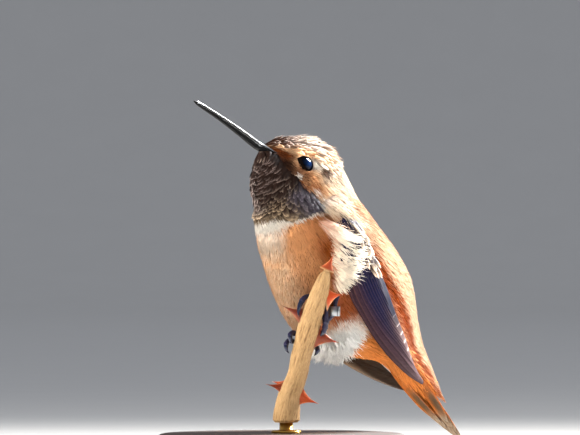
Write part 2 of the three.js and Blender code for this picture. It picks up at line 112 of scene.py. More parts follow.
# Stem, top to cut end: x, y, z, radius.
STEM = np.array([
    [1.73, -11.0, 40.4, 0.78],
    [1.72, -9.97, 38.35, 1.3],
    [1.68, -8.67, 35.39, 1.83],
    [1.28, -7.22, 31.88, 2.0],
    [1.2, -6.27, 29.29, 2.09],
    [1.14, -5.45, 26.88, 2.04],
    [1.04, -4.4, 24.48, 1.91],
    [1.2, -3.3, 21.52, 1.87],
    [0.97, -1.77, 18.56, 2.17],
    [0.74, -1.15, 16.89, 2.17],
    [0.66, -0.6, 14.2, 2.42],
    [0.6, -0.5, 12.2, 2.5],
])
STEM_RIGHT = math.radians(-38)

# Prickles: height of the foot on the stem, half length of the foot, tip x, y, z, share of the full red.
PRICKLES = [
    (39.9, 1.0, 2.43, -12.3, 43.3, 0.7),
    (35.3, 2.0, 5.15, -11.64, 35.95, 1.15),
    (31.3, 1.3, -3.52, -4.35, 33.91, 0.35),
    (28.7, 2.0, 5.41, -10.32, 26.98, 0.45),
    (18.3, 0.9, -3.51, 0.46, 19.3, 0.4),
    (18.8, 0.7, -1.02, 1.55, 19.76, 0.8),
    (17.6, 1.6, 4.66, -5.16, 15.63, 1.1),
]

# Toes as they wrap the stem: angle round it from its right-hand side in degrees, height, distance off it,
# radius.
LEFT_TOES = [
    [(-2, 31.0, 0.75, 0.46), (18, 33.0, 0.6, 0.42), (60, 34.8, 0.55, 0.42), (120, 35.6, 0.6, 0.42),
     (165, 35.3, 0.72, 0.48), (184, 34.1, 0.92, 0.46), (196, 32.7, 0.85, 0.38), (212, 31.7, 0.55, 0.28)],
    [(2, 30.8, 0.8, 0.44), (40, 31.9, 0.6, 0.42), (90, 32.6, 0.6, 0.36), (128, 31.9, 0.5, 0.28)],
    [(-8, 30.8, 0.9, 0.56), (-14, 29.8, 1.0, 0.52), (-20, 28.9, 0.95, 0.44), (-30, 28.2, 0.7, 0.3)],
]
RIGHT_TOES = [
    [(92, 27.6, 0.85, 0.44), (130, 28.4, 0.7, 0.44), (160, 28.8, 0.8, 0.48), (181, 28.5, 1.0, 0.46),
     (192, 27.4, 0.8, 0.38), (204, 26.7, 0.5, 0.28)],
    [(90, 27.0, 0.85, 0.44), (128, 27.0, 0.8, 0.44), (160, 27.4, 1.15, 0.48), (182, 26.8, 1.4, 0.46),
     (194, 25.7, 1.2, 0.38), (206, 25.0, 0.6, 0.28)],
    [(88, 26.7, 0.9, 0.44), (45, 26.2, 0.8, 0.44), (16, 25.9, 0.75, 0.42), (2, 25.2, 0.75, 0.38),
     (-12, 24.5, 0.5, 0.28)],
]
CLAW_SHARE = 0.34

# Legs, feathers toward the sole: x, y, z, radius.
LEFT_LEG = [(6.6, -8.3, 35.8, 0.5), (5.7, -8.8, 34.6, 0.4), (5.5, -8.9, 33.4, 0.34),
            (5.2, -8.85, 32.2, 0.33)]
RIGHT_LEG = [(7.6, 0.2, 31.2, 0.5), (5.9, -0.6, 29.9, 0.42), (4.9, -1.2, 29.0, 0.36)]
BAND_MIDDLE = (5.37, -8.88, 32.8)
BAND_HEIGHT = 1.8
BAND_RADIUS = 1.05
BAND_WALL = 0.24

# Camera: the lens stands this far off, at this bearing round the model, level with the middle of the bird.
CAMERA_DISTANCE = 1250.0
CAMERA_BEARING = math.radians(-38)
FRAME_WIDTH = 107.3
FRAME_MIDDLE_ACROSS = 1.48
FRAME_MIDDLE_HEIGHT = 50.1
SENSOR_WIDTH = 36.0


# ---- Colours -----------------------------------------------------------------

def linear(code):
    """Linear red, green and blue of an sRGB hex colour."""
    values = [int(code[i:i + 2], 16) / 255 for i in (1, 3, 5)]
    return tuple(v / 12.92 if v <= 0.04045 else ((v + 0.055) / 1.055) ** 2.4 for v in values)


def colour_property(name, description, code):
    """A colour that the user may change, with an sRGB hex default."""
    return bpy.props.FloatVectorProperty(
        name=name, description=description, subtype="COLOR", size=3, min=0, max=1, default=linear(code))


def size_property(name, description, default, low, high):
    """A length that the user may change, with its default and limits in millimetres."""
    return bpy.props.FloatProperty(
        name=name, description=description, unit="LENGTH", min=low * MM, max=high * MM,
        default=default * MM)


class PlumageColours(bpy.types.PropertyGroup):
    """Colours of the bird's plumage, some of them partly painted light or shade."""
    forehead: colour_property("Forehead", "Dark brown feather centres over the bill", "#4a2d1f")
    lores: colour_property("Lores", "Rich brown between bill and eye", "#6e3009")
    brow: colour_property("Brow", "Buff line over and behind the eye", "#e2b68c")
    cheek: colour_property("Cheek", "Orange-buff ear coverts", "#cd9b70")
    crown: colour_property("Crown", "Golden brown crown", "#b59f90")
    nape: colour_property("Nape", "Buff nape and hind neck", "#efdcc0")
    gorget: colour_property("Gorget", "Dark centre of a gorget feather", "#1d130f")
    gorget_edge: colour_property("Gorget edge", "Olive-bronze edge of a gorget feather", "#766450")
    gorget_side: colour_property("Gorget side", "Plum grey of the gorget under the cheek", "#4a434a")
    chin_edge: colour_property("Chin edge", "Buff-brown edge of a chin feather", "#8f7b74")
    collar: colour_property("Collar", "White band below the gorget", "#f0e6d8")
    breast: colour_property("Breast", "Cinnamon buff of the breast", "#f6cf9f")
    # Partly plumage colour, partly painted shade on the breast's sides.
    breast_side: colour_property("Breast side", "Cinnamon of the sides of the breast", "#c8804e")
    breast_dark: colour_property("Breast streak", "Brown between the breast feathers", "#b98256")
    flank: colour_property("Flank", "Rufous flank", "#9c4a14")
    # Partly the tufts' own cream, partly painted sunlight on them.
    flank_pale_and_sunlit: colour_property("Pale flank", "Cream tips over the wing's front edge", "#f4e2c4")
    belly: colour_property("Belly", "White down of the belly and vent", "#fbf8f2")
    coverts: colour_property("Under tail", "Pale orange under tail coverts", "#db8440")
    back: colour_property("Back", "Rufous of the back and rump", "#82360b")
    # Partly pale feather edges, partly painted sunlight where the light grazes the back.
    back_pale: colour_property("Pale back", "Cream-buff tips on the back", "#c9ad90")
    flight: colour_property("Flight feather", "Violet-brown of the wing", "#26181e")
    flight_blue: colour_property("Wing sheen", "Blue-violet gloss of the inner wing", "#171c3c")
    flight_grey: colour_property("Inner primary", "Mauve-grey of the inner primaries", "#524040")
    flight_under: colour_property("Wing underside", "Olive brown under the wing", "#342617")
    shaft: colour_property("Shaft", "Brown feather shaft", "#5a3a26")
    fringe: colour_property("Fringe", "Whitish edge of the inner wing feathers", "#d4cac4")
    tail: colour_property("Tail", "Rufous orange tail", "#8c4b1a")
    tail_tip: colour_property("Tail tip", "Dark brown tail tips", "#41301f")


class PlumageSizes(bpy.types.PropertyGroup):
    """Sizes of the coat."""
    face_depth: size_property("Face depth", "How deep the skin lies under the face feathers", 0.35, 0.1,
                              1.0)
    body_depth: size_property("Body depth", "How deep the skin lies under the body feathers", 0.8, 0.2, 2.0)
    barb: size_property("Barb width", "Width of one lock of barbs on the breast", 0.24, 0.1, 0.8)


class HornColours(bpy.types.PropertyGroup):
    """Colours of the bill, eyes, legs and claws."""
    bill: colour_property("Bill", "Black horn", "#050506")
    # The blue in this colour is a painted reflection; the tint puts it brightest in the middle of the dark
    # eye.
    eye: colour_property("Eye", "Blue-black eye", "#0e2244")
    lid: colour_property("Lid", "Dark bare skin round the eye", "#0a0706")
    leg: colour_property("Leg", "Blackish scaled skin", "#1c182e")
    claw: colour_property("Claw", "Blue-black horn", "#0e1430")
    skin: colour_property("Skin", "Skin under the plumage", "#6b4a3a")
    band: colour_property("Band", "Aluminium leg band", "#8f9193")


class PerchColours(bpy.types.PropertyGroup):
    """Colours of the stem, its prickles and the stand."""
    bark: colour_property("Bark", "Tan fibrous bark", "#997952")
    bark_dark: colour_property("Bark furrow", "Brown in the furrows", "#6a4c2e")
    bark_pale: colour_property("Bark ridge", "Straw colour on the ridges", "#b7956b")
    prickle: colour_property("Prickle", "Red-brown prickle", "#98380c")
    prickle_pale: colour_property("Prickle edge", "Pale edge and tip of a prickle", "#f09a6a")
    wood: colour_property("Base wood", "Walnut", "#3f2818")
    wood_dark: colour_property("Wood grain", "Dark walnut grain", "#22140c")
    brass: colour_property("Rod", "Brass", "#c79a4b")
    floor: colour_property("Floor", "Pale floor", "#c9c8c5")


# ---- Arithmetic on arrays ----------------------------------------------------

def smooth(value, low, high):
    """0 below low, 1 above high, with an eased ramp between."""
    t = np.clip((np.asarray(value, float) - low) / (high - low), 0, 1)
    return t * t * (3 - 2 * t)


def bump(value, low, high, ease):
    """1 between low and high, easing to 0 outside them."""
    return smooth(value, low - ease, low + ease) * (1 - smooth(value, high - ease, high + ease))


def unit(vectors):
    """Vectors at length one."""
    return vectors / np.maximum(np.linalg.norm(vectors, axis=-1, keepdims=True), 1e-12)


def mix(a, b, share):
    """a where share is 0 and b where it is 1, per colour channel."""
    share = np.asarray(share, float)[..., None]
    return a * (1 - share) + b * share


def circle(count):
    """Angles of so many even steps round a whole turn."""
    return np.arange(count) / count * 2 * math.pi


def run_along(points):
    """Length run from the first point to each point of a path."""
    return np.concatenate([[0], np.cumsum(np.linalg.norm(np.diff(points, axis=0), axis=1))])


def rows_at(rows, station):
    """Rows of numbers at fractional stations, on a Catmull-Rom curve through every row."""
    rows = np.asarray(rows, float)
    last = len(rows) - 1
    t = np.clip(np.asarray(station, float), 0, last)
    i = np.minimum(t.astype(int), last - 1)
    f = (t - i)[..., None]
    wide = np.vstack([2 * rows[0] - rows[1], rows, 2 * rows[-1] - rows[-2]])
    before, here, ahead, after = wide[i], wide[i + 1], wide[i + 2], wide[i + 3]
    return 0.5 * (2 * here + (ahead - before) * f + (2 * before - 5 * here + 4 * ahead - after) * f ** 2
                  + (3 * here - before - 3 * ahead + after) * f ** 3)


def waves(points, size, seed, octaves=3):
    """Smooth noise about zero: sines along seeded random directions, each octave half the size and
    strength."""
    rng = np.random.default_rng(seed)
    total = np.zeros(points.shape[:-1])
    strength = 1.0
    for _ in range(octaves):
        for _ in range(5):
            way = unit(rng.normal(size=points.shape[-1])) * rng.uniform(0.7, 1.4)
            total += strength * np.sin(points @ way * (2 * math.pi / size) + rng.uniform(0, 6.28))
        size *= 0.5
        strength *= 0.55
    return total / 5


# ---- Body surface ------------------------------------------------------------

def path_frames(rows, station, up=(0.0, 0.0, 1.0)):
    """Row, direction of travel, sideways and downward directions along a path."""
    last = len(rows) - 1
    row = rows_at(rows, station)
    ahead = rows_at(rows, np.minimum(station + 0.01, last))[..., :3]
    behind = rows_at(rows, np.maximum(station - 0.01, 0))[..., :3]
    along = unit(ahead - behind)
    side = unit(np.cross(along, np.asarray(up, float)))
    return row, along, side, np.cross(along, side)


BODY_FINE = 2400


def body_table():
    """Row, sideways and downward directions of the body at even steps along it."""
    row, _, side, down = path_frames(BODY, np.linspace(0, BODY_END, BODY_FINE + 1))
    return np.hstack([row, side, down])


BODY_TABLE = body_table()


def body_point(k, th, off=0.0):
    """Point on the bird: station k along the body and angle th round it, 0 at the belly's middle line
    and a quarter turn at the left side. The section is an oval, half width across and its own depths
    toward belly and back, and off moves the point out from it."""
    k, th, off = np.broadcast_arrays(np.asarray(k, float), np.asarray(th, float), np.asarray(off, float))
    x = np.clip(k, 0, BODY_END) / BODY_END * BODY_FINE
    i = np.minimum(x.astype(int), BODY_FINE - 1)
    f = (x - i)[..., None]
    row = BODY_TABLE[i] * (1 - f) + BODY_TABLE[i + 1] * f
    c, s = np.cos(th), np.sin(th)
    depth = np.where(c > 0, row[..., 4], row[..., 5]) + off
    middle, side, down = row[..., :3], row[..., 6:9], row[..., 9:12]
    return middle + down * (depth * c)[..., None] + side * ((row[..., 3] + off) * s)[..., None]


def body_scale(k, th):
    """Millimetres for one station along the body, and for one radian round it."""
    step = 0.02
    lengths = np.linalg.norm(body_point(k + step, th) - body_point(k - step, th), axis=-1) / (2 * step)
    round_it = np.linalg.norm(body_point(k, th + step) - body_point(k, th - step), axis=-1) / (2 * step)
    return np.maximum(lengths, 1.0), np.maximum(round_it, 1.2)


def wrapped(th):
    """Angle brought to between minus and plus half a turn."""
    return (np.asarray(th) + math.pi) % (2 * math.pi) - math.pi


def eye_frame(side):
    """Middle of an eyeball and its outward, tailward and upward directions; side is 1 left and -1
    right."""
    k, th = EYE_STATION, EYE_ANGLE * side
    surface = body_point(k, th)
    out = unit(surface - body_point(k, th, -1.0))
    tail = body_point(k + 0.05, th) - body_point(k - 0.05, th)
    tail = unit(tail - out * (tail @ out))
    return surface - out * (EYE_RADIUS - EYE_PROUD), out, tail, np.cross(out, tail) * -side


# ---- Meshes ------------------------------------------------------------------

def put_mesh(name, points, quads, triangles, material, slot, nodes=(), tint=None, uvs=None):
    """Makes a piece from points in millimetres and faces, with an optional colour and UVs for each
    point, and hangs it on the one body. It takes the place of the CAD nodes that are named."""
    mesh = bpy.data.meshes.new(name)
    quads = np.asarray(quads, np.int64).reshape(-1, 4)
    triangles = np.asarray(triangles, np.int64).reshape(-1, 3)
    corners = np.concatenate([quads.ravel(), triangles.ravel()]).astype(np.int32)
    counts = np.concatenate([np.full(len(quads), 4), np.full(len(triangles), 3)]).astype(np.int32)
    starts = np.concatenate([[0], np.cumsum(counts)[:-1]]).astype(np.int32)
    mesh.vertices.add(len(points))
    mesh.vertices.foreach_set("co", (np.asarray(points) * MM).astype(np.float32).ravel())
    mesh.loops.add(len(corners))
    mesh.loops.foreach_set("vertex_index", corners)
    mesh.polygons.add(len(counts))
    mesh.polygons.foreach_set("loop_start", starts)
    mesh.polygons.foreach_set("loop_total", counts)
    mesh.polygons.foreach_set("use_smooth", np.full(len(counts), True))
    for uv_name, uv in (uvs or {}).items():
        mesh.uv_layers.new(name=uv_name).data.foreach_set("uv", uv[corners].astype(np.float32).ravel())
    if tint is not None:
        colours = np.ones((len(points), 4), np.float32)
        colours[:, :3] = np.clip(tint, 0, 1)
        mesh.attributes.new("tint", "FLOAT_COLOR", "POINT").data.foreach_set("color", colours.ravel())
    mesh.update(calc_edges=True)
    mesh.materials.append(material)
    piece = bpy.data.objects.new(name, mesh)
    bpy.context.scene.collection.objects.link(piece)
    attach(piece, "root")
    if nodes:
        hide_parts(*nodes)
    return piece


def ring_faces(rings, around):
    """Quads between rings of points that are stored ring by ring, each ring closed on itself."""
    i, j = np.meshgrid(np.arange(rings - 1), np.arange(around), indexing="ij")
    a = i * around + j
    b = i * around + (j + 1) % around
    return np.stack([a, b, b + around, a + around], -1).reshape(-1, 4)


def outward(points, quads, triangles):
    """Turns every face over if the closed surface encloses a negative volume."""
    faces = np.vstack([quads[:, [0, 1, 2]], quads[:, [0, 2, 3]], triangles])
    a, b, c = points[faces[:, 0]], points[faces[:, 1]], points[faces[:, 2]]
    if np.einsum("ij,ij->i", a, np.cross(b, c)).sum() < 0:
        return quads[:, ::-1], triangles[:, ::-1]
    return quads, triangles


def tube(rings):
    """Points and outward faces of a closed skin over rings of points, with a fan to a middle point over
    either end."""
    count, around = rings.shape[:2]
    points = np.vstack([rings.reshape(-1, 3), rings[0].mean(0), rings[-1].mean(0)])
    ring = np.arange(around)
    following = (ring + 1) % around
    middle, end = count * around, (count - 1) * around
    fans = [np.stack([np.full(around, middle), following, ring], -1),
            np.stack([np.full(around, middle + 1), end + ring, end + following], -1)]
    return points, *outward(points, ring_faces(count, around), np.vstack(fans))


def with_ends(values):
    """Values of a tube's ring points as one list, with those of its two middle points at the end."""
    values = values.reshape(-1, values.shape[-1])
    return np.vstack([values, values[:1], values[-1:]])


def turned(radius, height, around):
    """Rings of a shape turned round the upright axis, from its radius and height at each ring."""
    radius, height, angle = np.reshape(radius, (-1, 1)), np.reshape(height, (-1, 1)), circle(around)
    return np.stack(np.broadcast_arrays(radius * np.cos(angle), radius * np.sin(angle), height), -1)


def join(parts):
    """Joins several (points, quads, triangles) into one."""
    points, quads, triangles = [], [], []
    start = 0
    for p, q, t in parts:
        points.append(p)
        quads.append(q + start)
        triangles.append(t + start)
        start += len(p)
    return np.vstack(points), np.vstack(quads), np.vstack(triangles)


# ---- Markings ----------------------------------------------------------------

def gorget_end(degrees):
    """Station where the gorget stops: level across the throat, then lower under the cheeks and at its
    corners."""
    a = np.abs(degrees)
    return 3.5 + 0.54 * smooth(a, 28, 56) + 0.2 * smooth(a, 70, 84)


def gorget_line(k):
    """Angle, in degrees from the throat's middle, where the gorget meets the face along the mouth and
    cheek."""
    return 81.5 + 9.5 * (1 - smooth(k, 0.8, 1.6)) + 4.5 * smooth(k, 2.9, 3.5)


def markings(k, th):
    """Root and tip colours of the plumage at a station and angle: bands of colour that blend along the body
    and round it, the same on both sides. Some stand partly for light and shade: painted sunlight on the
    crown and back, painted shade on the breast's sides, above the legs and beside the wing, and painted
    light on the gorget."""
    c = bpy.context.scene.bird_plumage_colours
    hue = {name: np.array(getattr(c, name)) for name in PlumageColours.__annotations__}
    degrees = np.degrees(wrapped(th))
    k, degrees = np.broadcast_arrays(np.asarray(k, float), degrees)
    a = np.abs(degrees)
    root, tip = hue["breast_dark"], hue["breast"]

    def lay(mask, root_colour, tip_colour):
        """Lays a colour over what is there, as far as the mask says."""
        nonlocal root, tip
        root = mix(root, root_colour, mask)
        tip = mix(tip, tip_colour, mask)

    def spot(at, angle, long, wide):
        """A mask that is 1 at one place on either side and falls off over a length and an angle."""
        return np.exp(-(((k - at) / long) ** 2 + ((a - angle) / wide) ** 2) ** 1.5)

    # The breast's sides darker: partly cinnamon plumage, partly painted shade.
    lay(smooth(a, 8, 36) * 0.85, hue["breast_dark"], hue["breast_side"])
    side = smooth(a, 44, 66) * (1 - smooth(k, 7.2, 8.0))
    lay(side * (0.45 + 0.55 * smooth(k, 4.6, 5.4)), hue["flank"] * 0.55, hue["flank"])
    # Deeper rufous above the legs: partly flank colour, partly painted shade.
    lay(bump(k, 6.4, 7.35, 0.2) * smooth(a, 28, 42), hue["flank"] * 0.6,
        mix(hue["flank"], hue["belly"], 0.04))
    lay((1 - smooth(a, 10, 40)) * smooth(k, 4.2, 5.2) * 0.35, hue["breast_dark"] * 1.3,
        hue["collar"] * 0.95)
    past = k - gorget_end(degrees)
    collar_width = 0.14 + 1.0 * (1 - smooth(a, 16, 54))
    lay((1 - smooth(past, collar_width * 0.4, collar_width * 1.6)) * (1 - smooth(a, 72, 88)),
        hue["collar"] * 0.7, hue["collar"])
    lay(smooth(k, 7.2, 7.6) * (1 - smooth(a, 48, 70)), hue["belly"] * 0.55, hue["belly"] * 0.88)
    lay(smooth(k + 0.012 * (a - 20), 8.25, 8.6) * (1 - smooth(a, 96, 112)), hue["coverts"] * 0.6,
        hue["coverts"])
    # Cream tips over the back and the paler band along its top: partly pale feather edges, partly painted
    # sunlight.
    back = smooth(a, 84, 100)
    lay(back * smooth(k, 3.4, 4.6), hue["back"] * 0.8, hue["back_pale"])
    # Deep rufous band beside the folded wing: partly rufous plumage, partly painted shade.
    lay(back * smooth(k, 4.9, 5.8) * (1 - smooth(a, 106, 115)), hue["back"] * 0.35, hue["back"])
    lay(back * smooth(k, 5.6, 7.0) * smooth(a, 105, 114), mix(hue["back"], hue["back_pale"], 0.4),
        hue["back_pale"])
    spine = smooth(k, 3.6, 5.0) * (1 - smooth(k, 8.6, 9.8)) * smooth(a, 139, 155)
    lay(spine * 0.9, hue["back"] * 0.5, mix(hue["back"], hue["back_pale"], 0.2))
    lay(spot(4.6, 94, 0.4, 2.5), hue["flight"], hue["flight"] * 1.5)
    head = 1 - smooth(k, 3.9, 4.8)
    lay(head * smooth(a, 78, 86), hue["cheek"] * 0.6, hue["brow"])
    lay(head * bump(k, 1.9, 3.9, 0.35) * bump(a, 76, 100, 5), hue["lores"], hue["cheek"])
    lay(head * smooth(k, 2.5, 3.3) * smooth(a, 98, 114), hue["crown"] * 0.75, hue["nape"])
    # Cream on the crown's top: partly pale feather tips, partly painted sunlight.
    lay((1 - smooth(k, 2.3, 3.0)) * smooth(a, 118, 132), hue["crown"] * 0.8,
        mix(hue["collar"], hue["fringe"], 0.4))
    lay((1 - smooth(k, 1.0, 1.9)) * smooth(a, 108, 122), hue["forehead"] * 0.6,
        mix(hue["crown"], hue["fringe"], 0.7))
    lay((1 - smooth(k, 1.5, 2.0)) * bump(a, 78, 106, 5), hue["lores"] * 0.5,
        mix(hue["lores"], hue["cheek"], 0.1))
    lay(spot(1.6, 85, 1.05, 8), hue["forehead"] * 0.4, hue["forehead"] * 0.7)
    lay(spot(2.45, 92, 0.35, 5) * 0.8, hue["forehead"], mix(hue["lores"], hue["cheek"], 0.4))
    lay(spot(1.85, 116, 0.3, 5), hue["brow"] * 0.7, hue["brow"])
    lay(spot(2.62, 112, 0.26, 7.5), hue["collar"] * 0.85, hue["collar"])
    lay(spot(3.0, 113, 0.15, 5.5), hue["forehead"], hue["forehead"] * 1.5)
    lay(bump(k, 3.75, 4.5, 0.2) * bump(a, 85, 104, 4) * 0.8, hue["crown"], hue["nape"])
    line = gorget_line(k)
    gorget = (1 - smooth(a, line - 2, line + 2)) * (1 - smooth(past, -0.05, 0.05))
    throat = smooth(k, 2.2, 2.8)
    # Painted light: glow lifts the gorget's dark centres and rims toward the throat's middle as if lit from
    # the left and behind; the rims below, darker toward the chin's sides and paler near its middle, are
    # painted light too.
    glow = 1 + 1.4 * (1 - smooth(a, 8, 32)) * (1 - 0.5 * smooth(k, 2.4, 3.0))
    glow = (glow + 0.15 * smooth(k, 2.2, 2.9) * (1 - smooth(a, 44, 62)))[..., None]
    edge = mix(hue["gorget_edge"], hue["chin_edge"], 1 - smooth(k, 1.6, 2.5)) * glow
    under_cheek = smooth(a, 50, 74)
    edge = mix(edge, hue["gorget_side"], under_cheek * smooth(k, 2.0, 2.7) * (1 - smooth(k, 3.9, 4.2)))
    edge = edge * (1 - 0.4 * bump(a, 30, 80, 10) * (1 - throat))[..., None]
    edge = mix(edge, hue["fringe"] * 0.5, 0.5 * (1 - smooth(a, 20, 40)) * (1 - throat))
    edge = mix(edge, hue["crown"], (1 - smooth(k, 0.45, 0.8)) * (1 - smooth(a, 30, 60)))
    for at, angle in ((2.4, 84.5), (3.45, 89), (3.85, 91)):
        lay(spot(at, angle, 0.11, 2.3), hue["collar"], hue["belly"])
    lay(gorget, mix(hue["gorget"] * glow, hue["gorget_side"] * 0.6, under_cheek * throat), edge)
    return root, tip


# ---- Coat --------------------------------------------------------------------

def coat_depth(k):
    """How deep the skin lies under the feather tips: least on the face and over the tail."""
    sizes = bpy.context.scene.bird_plumage_sizes
    face, body = sizes.face_depth / MM, sizes.body_depth / MM
    return face + (body - face) * smooth(k, 1.5, 5) * (1 - 0.5 * smooth(k, 9, 11))


def lattice(low, high, row_gap, spacing, seed, jitter=0.3):
    """Feather roots in staggered rows: rows a fixed gap apart along the body, and within a row an even
    spacing round it, worked out from lengths on the body, then shaken by a share of the spacing."""
    rng = np.random.default_rng(seed)
    fine = np.linspace(0, BODY_END, 1201)
    mid = body_point(fine, math.pi / 2)
    run = run_along(mid)
    start, stop = np.interp([low, high], fine, run)
    stations = np.interp(np.arange(start, stop, row_gap), run, fine)
    around = 721
    angles = np.linspace(-math.pi, math.pi, around)
    ks, ths = [], []
    for number, k in enumerate(stations):
        length = run_along(body_point(np.full(around, k), angles))
        count = max(int(length[-1] / spacing), 3)
        places = (np.arange(count) + 0.5 * (number % 2) + rng.uniform(-jitter, jitter, count)) / count
        ths.append(np.interp((places % 1) * length[-1], length, angles))
        ks.append(np.full(count, k) + rng.uniform(-jitter, jitter, count) * row_gap / 7)
    return np.concatenate(ks), np.concatenate(ths)


def round_the_eye(k, th):
    """Turn of the coat's lie where it parts round each eye, as a stream parts round a post, and how far
    each root is from the nearer eye's middle."""
    turn = np.zeros(np.shape(k))
    near = np.full(np.shape(k), 99.0)
    per_k, per_th = body_scale(EYE_STATION, EYE_ANGLE)
    for side in (1, -1):
        x = (k - EYE_STATION) * per_k
        y = wrapped(th - EYE_ANGLE * side) * per_th
        r2 = np.maximum(x * x + y * y, EYE_CLEAR ** 2)
        pull = EYE_CLEAR ** 2 * np.exp(-(r2 - EYE_CLEAR ** 2) / 12)
        turn += np.arctan2(-2 * pull * x * y / r2 ** 2, 1 - pull * (x * x - y * y) / r2 ** 2)
        near = np.minimum(near, np.sqrt(x * x + y * y))
    return turn, near


def over_lids(points):
    """Lifts whatever would sink into an eye's lids out to their surface, and says which feathers, the
    first axis, would lie over its opening."""
    crosses = np.zeros(len(points), bool)
    for side in (1, -1):
        middle, out, tail, up = eye_frame(side)
        from_middle = points - middle
        away = np.linalg.norm(from_middle, axis=-1)
        shell = EYE_RADIUS + 0.06
        lifted = np.maximum(away, shell) + 0.08 * np.exp(-np.abs(away - shell) / 0.15)
        across = np.hypot(from_middle @ tail / LID_OPENING[0], from_middle @ up / LID_OPENING[1]) / LID_RIM
        crosses |= ((across < 1) & (from_middle @ out > 0) & (away < 1.6 * EYE_RADIUS)).any(axis=1)
        points = middle + from_middle * (lifted / away)[..., None]
    return points, crosses


def fan(seeds, count, seed, spread=0.75, oval=0.28, rough=0.1):
    """Splits each feather into locks of barbs: they start close to its shaft, open to its width, curve
    back in line and are shorter toward its sides, which gives the feather a soft rounded end."""
    rng = np.random.default_rng(seed)
    t = np.linspace(-1, 1, count)[None]
    n = len(seeds["k"])
    per_k, per_th = body_scale(seeds["k"], seeds["th"])
    width, length, heading = seeds["width"][:, None], seeds["length"][:, None], seeds["heading"][:, None]
    offset = 0.5 * width * t * (1 - spread)
    opening = np.arctan2(0.5 * width * t * spread * 1.5, length)
    shake = rng.normal(0, rough, (n, count))
    uneven = rng.uniform(0.8, 1.25, (n, count))
    return {
        "k": (seeds["k"][:, None] - offset * np.sin(heading) / per_k[:, None]).ravel(),
        "th": (seeds["th"][:, None] + offset * np.cos(heading) / per_th[:, None]).ravel(),
        "heading": (heading + opening + shake * 0.5).ravel(),
        "sway": (-opening * 0.9 + shake * 0.6).ravel(),
        "length": (length * (1 - oval * t * t + shake * 0.6)).ravel(),
        "half": (0.62 * width / count * uneven).ravel(),
        "low": np.repeat(seeds["low"], count),
        "high": (seeds["high"][:, None] - 0.06 * t * t + shake * 0.4).ravel(),
        "root": np.repeat(seeds["root"], count, 0) * rng.uniform(0.85, 1.12, (n * count, 1)),
        "tip": np.repeat(seeds["tip"], count, 0) * rng.uniform(0.88, 1.1, (n * count, 1)),
        "patch_k": np.repeat(seeds["k"], count),
        "patch_th": np.repeat(seeds["th"], count),
        "place": np.broadcast_to(t * 0.5 + 0.5, (n, count)).ravel(),
    }


def lay_feathers(name, seeds, outline, material, slot, columns=3, ridge=0.06, lift=1.3, tip_at=0.35,
                 rim=None, lower_only=False):
    """Lays one closed blade per seed over the body. Its rings sit at shares of its length and are as
    wide as the outline says, a few points across that arch up by ridge and close flat beneath; it bends
    to the body by stepping in station and angle, rises from low to high as the share to the power lift,
    and ends in a point. Colour runs from the root's to the tip's along it, or with rim from the middle
    out to a narrow border, which lower_only keeps to its side toward the tail."""
    share = np.array([p[0] for p in outline] + [1.0])
    wide = np.array([p[1] for p in outline] + [0.0])
    place = np.linspace(-1, 1, columns)
    n, rings = len(seeds["k"]), len(share)
    per_k, per_th = body_scale(seeds["k"], seeds["th"])
    run = seeds["length"][:, None] * share
    bearing = seeds["heading"][:, None] + 0.5 * seeds["sway"][:, None] * share
    facing = (seeds["heading"][:, None] + seeds["sway"][:, None] * share)[..., None]
    half = (seeds["half"][:, None] * wide)[..., None] * place
    a = (run * np.cos(bearing))[..., None] - half * np.sin(facing)
    b = (run * np.sin(bearing))[..., None] + half * np.cos(facing)
    rise = seeds["low"][:, None] + (seeds["high"] - seeds["low"])[:, None] * share ** lift
    height = rise[..., None] + (ridge * np.minimum(wide, 1))[:, None] * (1 - place ** 2)
    points = body_point(seeds["k"][:, None, None] + a / per_k[:, None, None],
                        seeds["th"][:, None, None] + b / per_th[:, None, None], height)
    points = np.concatenate([points[:, :-1].reshape(n, -1, 3), points[:, -1, columns // 2][:, None]], 1)
    if slot == "head_plumage":
        points, crosses = over_lids(points)
        points, seeds = points[~crosses], {key: value[~crosses] for key, value in seeds.items()}
        n = len(points)
    per = points.shape[1]
    ring = np.arange(columns)
    following = (ring + 1) % columns
    start = np.arange(rings - 2)[:, None] * columns
    quads = [start + ring, start + columns + ring, start + columns + following, start + following]
    quads = np.stack(quads, -1).reshape(-1, 4)
    last = (rings - 2) * columns
    triangles = np.vstack([np.stack([last + ring, np.full(columns, per - 1), last + following], -1),
                           np.stack([np.zeros(columns - 2, int), ring[1:-1], ring[2:]], -1)])
    base = (np.arange(n) * per)[:, None, None]
    shares = np.append(np.repeat(share[:-1], columns), 1.0)
    places = np.append(np.tile(place, rings - 1), 0.0)
    if rim is None:
        pale = smooth(shares, tip_at, 1.0)[None]
    else:
        across = np.sign(wrapped(seeds["th"]))[:, None] * places if lower_only else np.abs(places)[None]
        side = smooth(across, rim[0], 1.0) * smooth(shares, rim[1] - 0.25, rim[1])
        pale = np.maximum(side, smooth(shares, rim[1], rim[1] + 0.12))
    tint = mix(seeds["root"][:, None], seeds["tip"][:, None], pale)
    barb = np.stack([np.broadcast_to(places * 0.5 + 0.5, (n, per)), np.broadcast_to(shares, (n, per))], -1)
    patch_u = seeds["patch_k"] / (BODY_END + 0.5) + 0.01
    patch_v = wrapped(seeds["patch_th"]) / (2 * math.pi) + 0.5
    corner = np.stack([patch_u, patch_v], -1) * 0.99
    within = np.stack([seeds["place"][:, None] * 0.8 + 0.1 * (places + 1),
                       np.broadcast_to(shares, (n, per))], -1)
    patch = corner[:, None] + 0.003 * within
    quads, triangles = (quads + base).reshape(-1, 4), (triangles + base).reshape(-1, 3)
    put_mesh(name, points.reshape(-1, 3), quads, triangles, material, slot, tint=tint.reshape(-1, 3),
             uvs={"OFBake": patch.reshape(-1, 2), "Barb": barb.reshape(-1, 2)})


